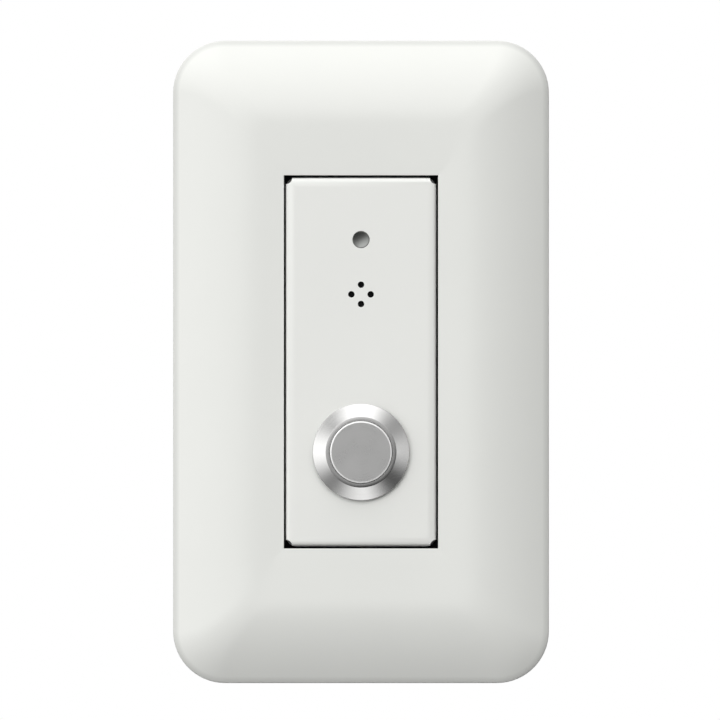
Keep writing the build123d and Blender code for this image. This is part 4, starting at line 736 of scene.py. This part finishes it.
sound_holes = [
    (SOUND_CIRCLE_R * math.cos(a), sound_z + SOUND_CIRCLE_R * math.sin(a))
    for a in (0, math.pi / 2, math.pi, 1.5 * math.pi)
]
corners = [(sx * PANEL_X, sz * PANEL_Z) for sx in (1, -1) for sz in (1, -1)]
cutters = [cutter(LED_HOLE_R, 0, led_z), cutter(BARREL_R + 0.05, 0, button_z, 128)]
cutters += [cutter(SOUND_HOLE_R, x, z, 48) for x, z in sound_holes]
cutters += [cutter(RELIEF_R, x, z, 48) for x, z in corners]
tools = make_mesh("panel_cutters", cutters)
cut = panel.modifiers.new("holes", "BOOLEAN")
cut.object, cut.operation, cut.solver = tools, "DIFFERENCE", "EXACT"
lip = panel.modifiers.new("soft lips", "BEVEL")
lip.width, lip.segments, lip.limit_method, lip.angle_limit = 0.16 * MM, 3, "ANGLE", math.radians(50)
apply_modifiers(panel)
bpy.data.objects.remove(tools)
settle(panel, "insert_panel")

# %% [markdown]
# ## The push button
#
# The switch body is a steel barrel with a wide cone of a bezel. A nearly flat land lies between the
# cone and the bore, and the cap stands a little proud of it. All of them are turned on a lathe, so each
# is one section carried round the axis. The cap's narrow pale ring is a shallow chamfer whose paleness
# is a painted highlight, and the dark line round the cap is the running gap in the bore.

# %% Switch body
body_low, body_high = reach("switch_body")
LAND, BARREL_END = body_high[1], body_low[1]
SEAT, CONE_R, CONE_EDGE, LAND_FALL, BORE_R = 9.7, 9.0, 0.35, 0.05, 5.85
PITCH, THREAD_DEPTH, FLANK, THREAD_TOP = 1.0, 0.4, 0.44, 8.0
cavity_r, web_front, web_back, stem_r = 7.1, LAND - 9.4, LAND - 10.9, 2.05
roots = np.arange(BARREL_END + 0.5 * PITCH, THREAD_TOP, PITCH)[::-1]
thread = np.stack(
    [
        np.tile([BARREL_R, BARREL_R - THREAD_DEPTH, BARREL_R], len(roots)),
        (roots[:, None] + np.array([FLANK, 0.0, -FLANK]) * PITCH).ravel(),
    ],
    1,
)
bezel_section = np.concatenate(
    [
        [(BORE_R, LAND), (LAND_R, LAND - LAND_FALL), (CONE_R, SEAT + CONE_EDGE)],
        [(CONE_R, SEAT), (BARREL_R, SEAT)],
        thread,
        [(BARREL_R, BARREL_END), (cavity_r, BARREL_END), (cavity_r, web_back), (stem_r, web_back)],
        [(stem_r, web_front), (BORE_R, web_front)],
    ]
)
bezel_radius = np.full(len(bezel_section), 0.05)
bezel_radius[:5] = [0.08, 0.08, 0.12, 0.12, 0.05]
body = make_mesh("switch_barrel", [turned(soften(bezel_section, bezel_radius, 4), 0, button_z, 192)])
settle(body, "switch_body")

# %% Cap with its stem
CAP_R, CAP_TOP, CHAMFER = 5.77, cap_high[1], 0.25
STEM_R, RING_GROOVE_R, TIP_R, SKIRT = 2.0, 1.5, 1.2, 4.2
ring_groove_top, ring_groove_foot, shoulder = 0.67, 0.03, -0.15
seal_h = CAP_TOP - 2.4
groove_r, groove = 4.65, 0.57
cap_section = [
    (0, CAP_TOP),
    (CAP_R - CHAMFER, CAP_TOP),
    (CAP_R, CAP_TOP - 0.25 * CHAMFER),
    (CAP_R, seal_h + groove),
    (groove_r, seal_h + groove),
    (groove_r, seal_h - groove),
    (CAP_R, seal_h - groove),
    (CAP_R, CAP_TOP - SKIRT),
    (STEM_R, CAP_TOP - SKIRT),
    (STEM_R, ring_groove_top),
    (RING_GROOVE_R, ring_groove_top),
    (RING_GROOVE_R, ring_groove_foot),
    (STEM_R, ring_groove_foot),
    (STEM_R, shoulder),
    (TIP_R, shoulder),
    (TIP_R, cap_low[1]),
    (0, cap_low[1]),
]
cap_radius = np.full(len(cap_section), 0.06)
cap_radius[[1, 2]] = 0.07
cap = make_mesh("push_cap", [turned(soften(cap_section, cap_radius, 4, closed=False), 0, button_z, 192)])
settle(cap, "button_cap", material="cap_steel")

# %% Cap seal and bezel gasket
SEAL_R, SEAL_WIRE, GASKET_IN, GASKET_OUT = 5.28, 0.52, 8.05, 8.80
ring_angle = np.linspace(0, 2 * math.pi, 24, endpoint=False)
seal_section = np.stack([SEAL_R + SEAL_WIRE * np.cos(ring_angle), seal_h + SEAL_WIRE * np.sin(ring_angle)], 1)
settle(make_mesh("cap_o_ring", [turned(seal_section, 0, button_z, 128)]), "cap_seal")
gasket_low, gasket_high = reach("bezel_gasket")
gasket_corners = [
    (GASKET_IN, gasket_high[1]),
    (GASKET_OUT, gasket_high[1]),
    (GASKET_OUT, gasket_low[1]),
    (GASKET_IN, gasket_low[1]),
]
gasket_section = soften(gasket_corners, 0.12, 5)
settle(make_mesh("bezel_washer", [turned(gasket_section, 0, button_z, 128)]), "bezel_gasket")

# %% [markdown]
# ## The indicator
#
# The lens sits behind the panel. Its front is a shallow satin dish, so its lower right side faces
# the light and its upper left side stays dark.

# %% Lens
lens_front, lens_back = lens_high[1], lens_low[1]
DISH_DEPTH, DISH_R, LENS_R, FLANGE_R = 0.26, 1.42, 1.55, 3.0
flange_front = lens_front - 0.25
dish_r = np.linspace(0, DISH_R, 14)
dish = np.stack([dish_r, lens_front - DISH_DEPTH * (1 - (dish_r / DISH_R) ** 2)], 1)
lens_steps = [
    (LENS_R, lens_front),
    (LENS_R, flange_front),
    (FLANGE_R, flange_front),
    (FLANGE_R, lens_back),
    (0, lens_back),
]
lens_section = soften(np.concatenate([dish, lens_steps]), 0.04, 3, closed=False)
settle(make_mesh("indicator_dish", [turned(lens_section, 0, led_z, 96)]), "indicator_lens")

# %% [markdown]
# ## Springs
#
# A spring is a circle carried along a helix. Its end turns lie close together so that it stands
# level, so the helix climbs slowly at both ends and quickly between them.


# %% Coil a spring
def spring(mean_r, wire_r, turns, start, end, around=16):
    """Centre line: radius mean_r at angle 2 pi turns t, height start + wire + (span - 2 wire) * rise(t),
    where rise(t) = t - sin(2 pi t) 0.5 / (2 pi) climbs slowly at both ends. The wire is a circle across
    that line."""
    t = np.linspace(0, 1, int(turns * 40) + 1)
    angle = 2 * math.pi * turns * t
    rise = t - 0.5 * np.sin(2 * math.pi * t) / (2 * math.pi)
    height = start + np.sign(end - start) * wire_r + (end - start - 2 * np.sign(end - start) * wire_r) * rise
    centre = np.stack([mean_r * np.cos(angle), height, mean_r * np.sin(angle)], 1)
    along = np.gradient(centre, axis=0)
    along /= np.linalg.norm(along, axis=1)[:, None]
    outward = np.stack([np.cos(angle), 0 * angle, np.sin(angle)], 1)
    side = np.cross(along, outward)
    turn = np.linspace(0, 2 * math.pi, around, endpoint=False)[None, :, None]
    rings = centre[:, None] + wire_r * (outward[:, None] * np.cos(turn) + side[:, None] * np.sin(turn))
    points = place(rings[..., 0], rings[..., 1], rings[..., 2] + button_z).reshape(-1, 3)
    faces = grid_quads(len(t), around, False, True).tolist()
    tail = len(points) - around
    return points, faces + [list(range(around - 1, -1, -1)), list(range(tail, tail + around))]


return_low, return_high = reach("return_spring")
return_shell = spring(mean_r=4.3, wire_r=0.3, turns=4.5, start=return_low[1], end=return_high[1])
return_coil = make_mesh("return_coil", [return_shell])
settle(return_coil, "return_spring")
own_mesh(return_coil)
contact_low, contact_high = reach("contact_spring")
contact_shell = spring(0.85, wire_r=0.125, turns=5, start=contact_low[1], end=contact_high[1], around=12)
contact_coil = make_mesh("contact_coil", [contact_shell])
settle(contact_coil, "contact_spring")
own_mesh(contact_coil)

# %% [markdown]
# ## Moulded and stamped edges
#
# The frame, the yoke, the housing and the blocks have the right shape already, but a CAD edge is
# perfectly sharp and a moulded or stamped one never is. Each gets a copy whose flat faces are first
# made whole again, and whose edges the Bevel modifier then rounds by a few tenths of a millimetre.


# %% Rounded copies of CAD pieces
def rounded_copy(name, node, width, segments=2):
    """A copy of a CAD node with its edges over 35 degrees rounded by `width` millimetres."""
    work = bmesh.new()
    work.from_mesh(frame["nodes"][node].data)
    bmesh.ops.remove_doubles(work, verts=work.verts, dist=1e-7)
    bmesh.ops.dissolve_limit(work, angle_limit=math.radians(0.4), verts=work.verts, edges=work.edges)
    mesh = bpy.data.meshes.new(name)
    work.to_mesh(mesh)
    work.free()
    piece = bpy.data.objects.new(name, mesh)
    bpy.context.scene.collection.objects.link(piece)
    bevel = piece.modifiers.new("rounded edges", "BEVEL")
    bevel.width, bevel.segments = width * MM, segments
    bevel.limit_method, bevel.angle_limit = "ANGLE", math.radians(35)
    bevel.use_clamp_overlap, bevel.loop_slide = False, False
    return settle(apply_modifiers(piece), node)


rounded_pieces = {
    "plate_frame": ("snap_frame", 0.15),
    "mounting_yoke": ("steel_yoke", 0.12),
    "rear_housing": ("housing_tub", 0.30),
    "rear_cover": ("housing_lid", 0.25),
    "contact_block": ("contact_moulding", 0.12),
    "buzzer_case": ("buzzer_shell", 0.12),
    "terminal_block": ("terminal_moulding", 0.12),
    "lead_header": ("header_moulding", 0.08),
    "lead_plug": ("plug_moulding", 0.08),
    "wall_gasket": ("wall_seal", 0.15),
}
for node, (name, width) in rounded_pieces.items():
    rounded_copy(name, node, width)

# %% [markdown]
# ## Camera
#
# The view is straight on and from far away, so the plate keeps its true proportions.

# %% Camera
camera_data = bpy.data.cameras.new("front camera")
camera_data.lens, camera_data.sensor_width = 900.0, 36.0
FIELD, AIM_X, AIM_Z = 0.1344, -0.00019, 0.00036
camera_distance = FIELD / 2 / (camera_data.sensor_width / 2 / camera_data.lens)
camera = bpy.data.objects.new("front camera", camera_data)
camera.location = (AIM_X, -(camera_distance + 0.5 * TOP * MM), AIM_Z)
camera.rotation_euler = (math.radians(90), 0, 0)
camera_data.clip_start, camera_data.clip_end = 0.5, 50.0
bpy.context.scene.collection.objects.link(camera)
bpy.context.scene.camera = camera
print("camera", round(camera_distance, 3), "m from the plate")

# %% [markdown]
# ## Soft studio light
#
# The light comes from all round, more from above and from the left, as from big soft boxes. The sky
# is a smooth function of direction: a slow drift across the room, plus a ring of boxes round the
# front. The ring's strength is a bell in the direction's depth, and it goes round as a sum of waves
# with one, two, three and four turns, whose dark gaps give the bezel its streaks. The weights come
# from least-squares fits to the shades that the plate and the bezel should have, with a few changed
# one by one. Behind the plate the light is nearly even. The camera itself sees a plain white backdrop.

# %% Light from all round
world = bpy.data.worlds.new("soft studio")
world.use_nodes = True
bpy.context.scene.world = world
bpy.context.scene.view_settings.view_transform = "Standard"
sky = Shader(world.node_tree)
direction = sky.node("ShaderNodeTexCoord", output="Generated")
right, away, up = (sky.node("ShaderNodeSeparateXYZ", None, {0: direction}, output=n) for n in ("X", "Y", "Z"))
ring = (right * right + up * up + 1e-6) ** 0.5
cosine, sine = right / ring, up / ring
RING_DEPTH, RING_WIDTH, DARKEST = 0.41, 0.30, 0.02
BACK_FROM, BACK_FULL, BACK_LEVEL, BACK_RISE = -0.05, 0.35, 0.74, 0.10
from_ring = (away + RING_DEPTH) / RING_WIDTH
bell = Value.math(from_ring, "POWER", math.e, from_ring * from_ring * -1.0)
two_boxes = cosine * cosine - sine * sine
three_boxes = cosine * cosine * cosine * 4.0 - cosine * 3.0
four_boxes = cosine**4.0 * 8.0 - cosine * cosine * 8.0 + 1.0
drift = right * -2.452 + away * -4.42 + up * 4.67 - 2.640
waves = cosine * 2.03 + sine * -4.10 + four_boxes * 0.66 + two_boxes * -0.185 + three_boxes * -0.115
front = drift + bell * waves + bell * (cosine * sine * 0.158 + 2.08)
front = front + (right * right - up * up) * -0.057 + right * up * -0.09 + away * away * -1.229
front = Value.math(front, "MAXIMUM", front, DARKEST)
smooth = {"interpolation_type": "SMOOTHSTEP"}
behind = sky.node("ShaderNodeMapRange", smooth, {"Value": away, 1: BACK_FROM, 2: BACK_FULL})
light = front * (1 - behind) + behind * (up * BACK_RISE + BACK_LEVEL)
seen = sky.node("ShaderNodeLightPath", output="Is Camera Ray")
soft_light = sky.node("ShaderNodeBackground", None, {"Color": (1, 1, 1, 1), "Strength": light})
backdrop = sky.node("ShaderNodeBackground", None, {"Color": (1, 1, 1, 1), "Strength": 1.0})
mixed = sky.node("ShaderNodeMixShader", None, {0: seen, 1: soft_light, 2: backdrop})
sky.node("ShaderNodeOutputWorld", None, {"Surface": mixed})

# %% [markdown]
# ## Floor
#
# A plain pale disc lies well below the plate and out of the front view.

# %% Floor
FLOOR_R, FLOOR_THICK, FLOOR_Z = 400.0, 2.0, -0.100
floor_section = [(0, 0.0), (FLOOR_R, 0.0), (FLOOR_R, -FLOOR_THICK), (0, -FLOOR_THICK)]
floor = make_mesh("floor", [turned(floor_section, 0, 0, 96)])
floor_points = np.empty(len(floor.data.vertices) * 3)
floor.data.vertices.foreach_get("co", floor_points)
x, y, z = floor_points.reshape(-1, 3).T
floor.data.vertices.foreach_set("co", np.stack([x, z, -y + FLOOR_Z], 1).ravel())
clean_mesh(floor.data)
floor.data.materials.append(moulded(0.002, 1e-5, (0.62, 0.62, 0.61), 0.02, (0.6, 0.7))("floor paint"))
floor.visible_diffuse = floor.visible_glossy = False
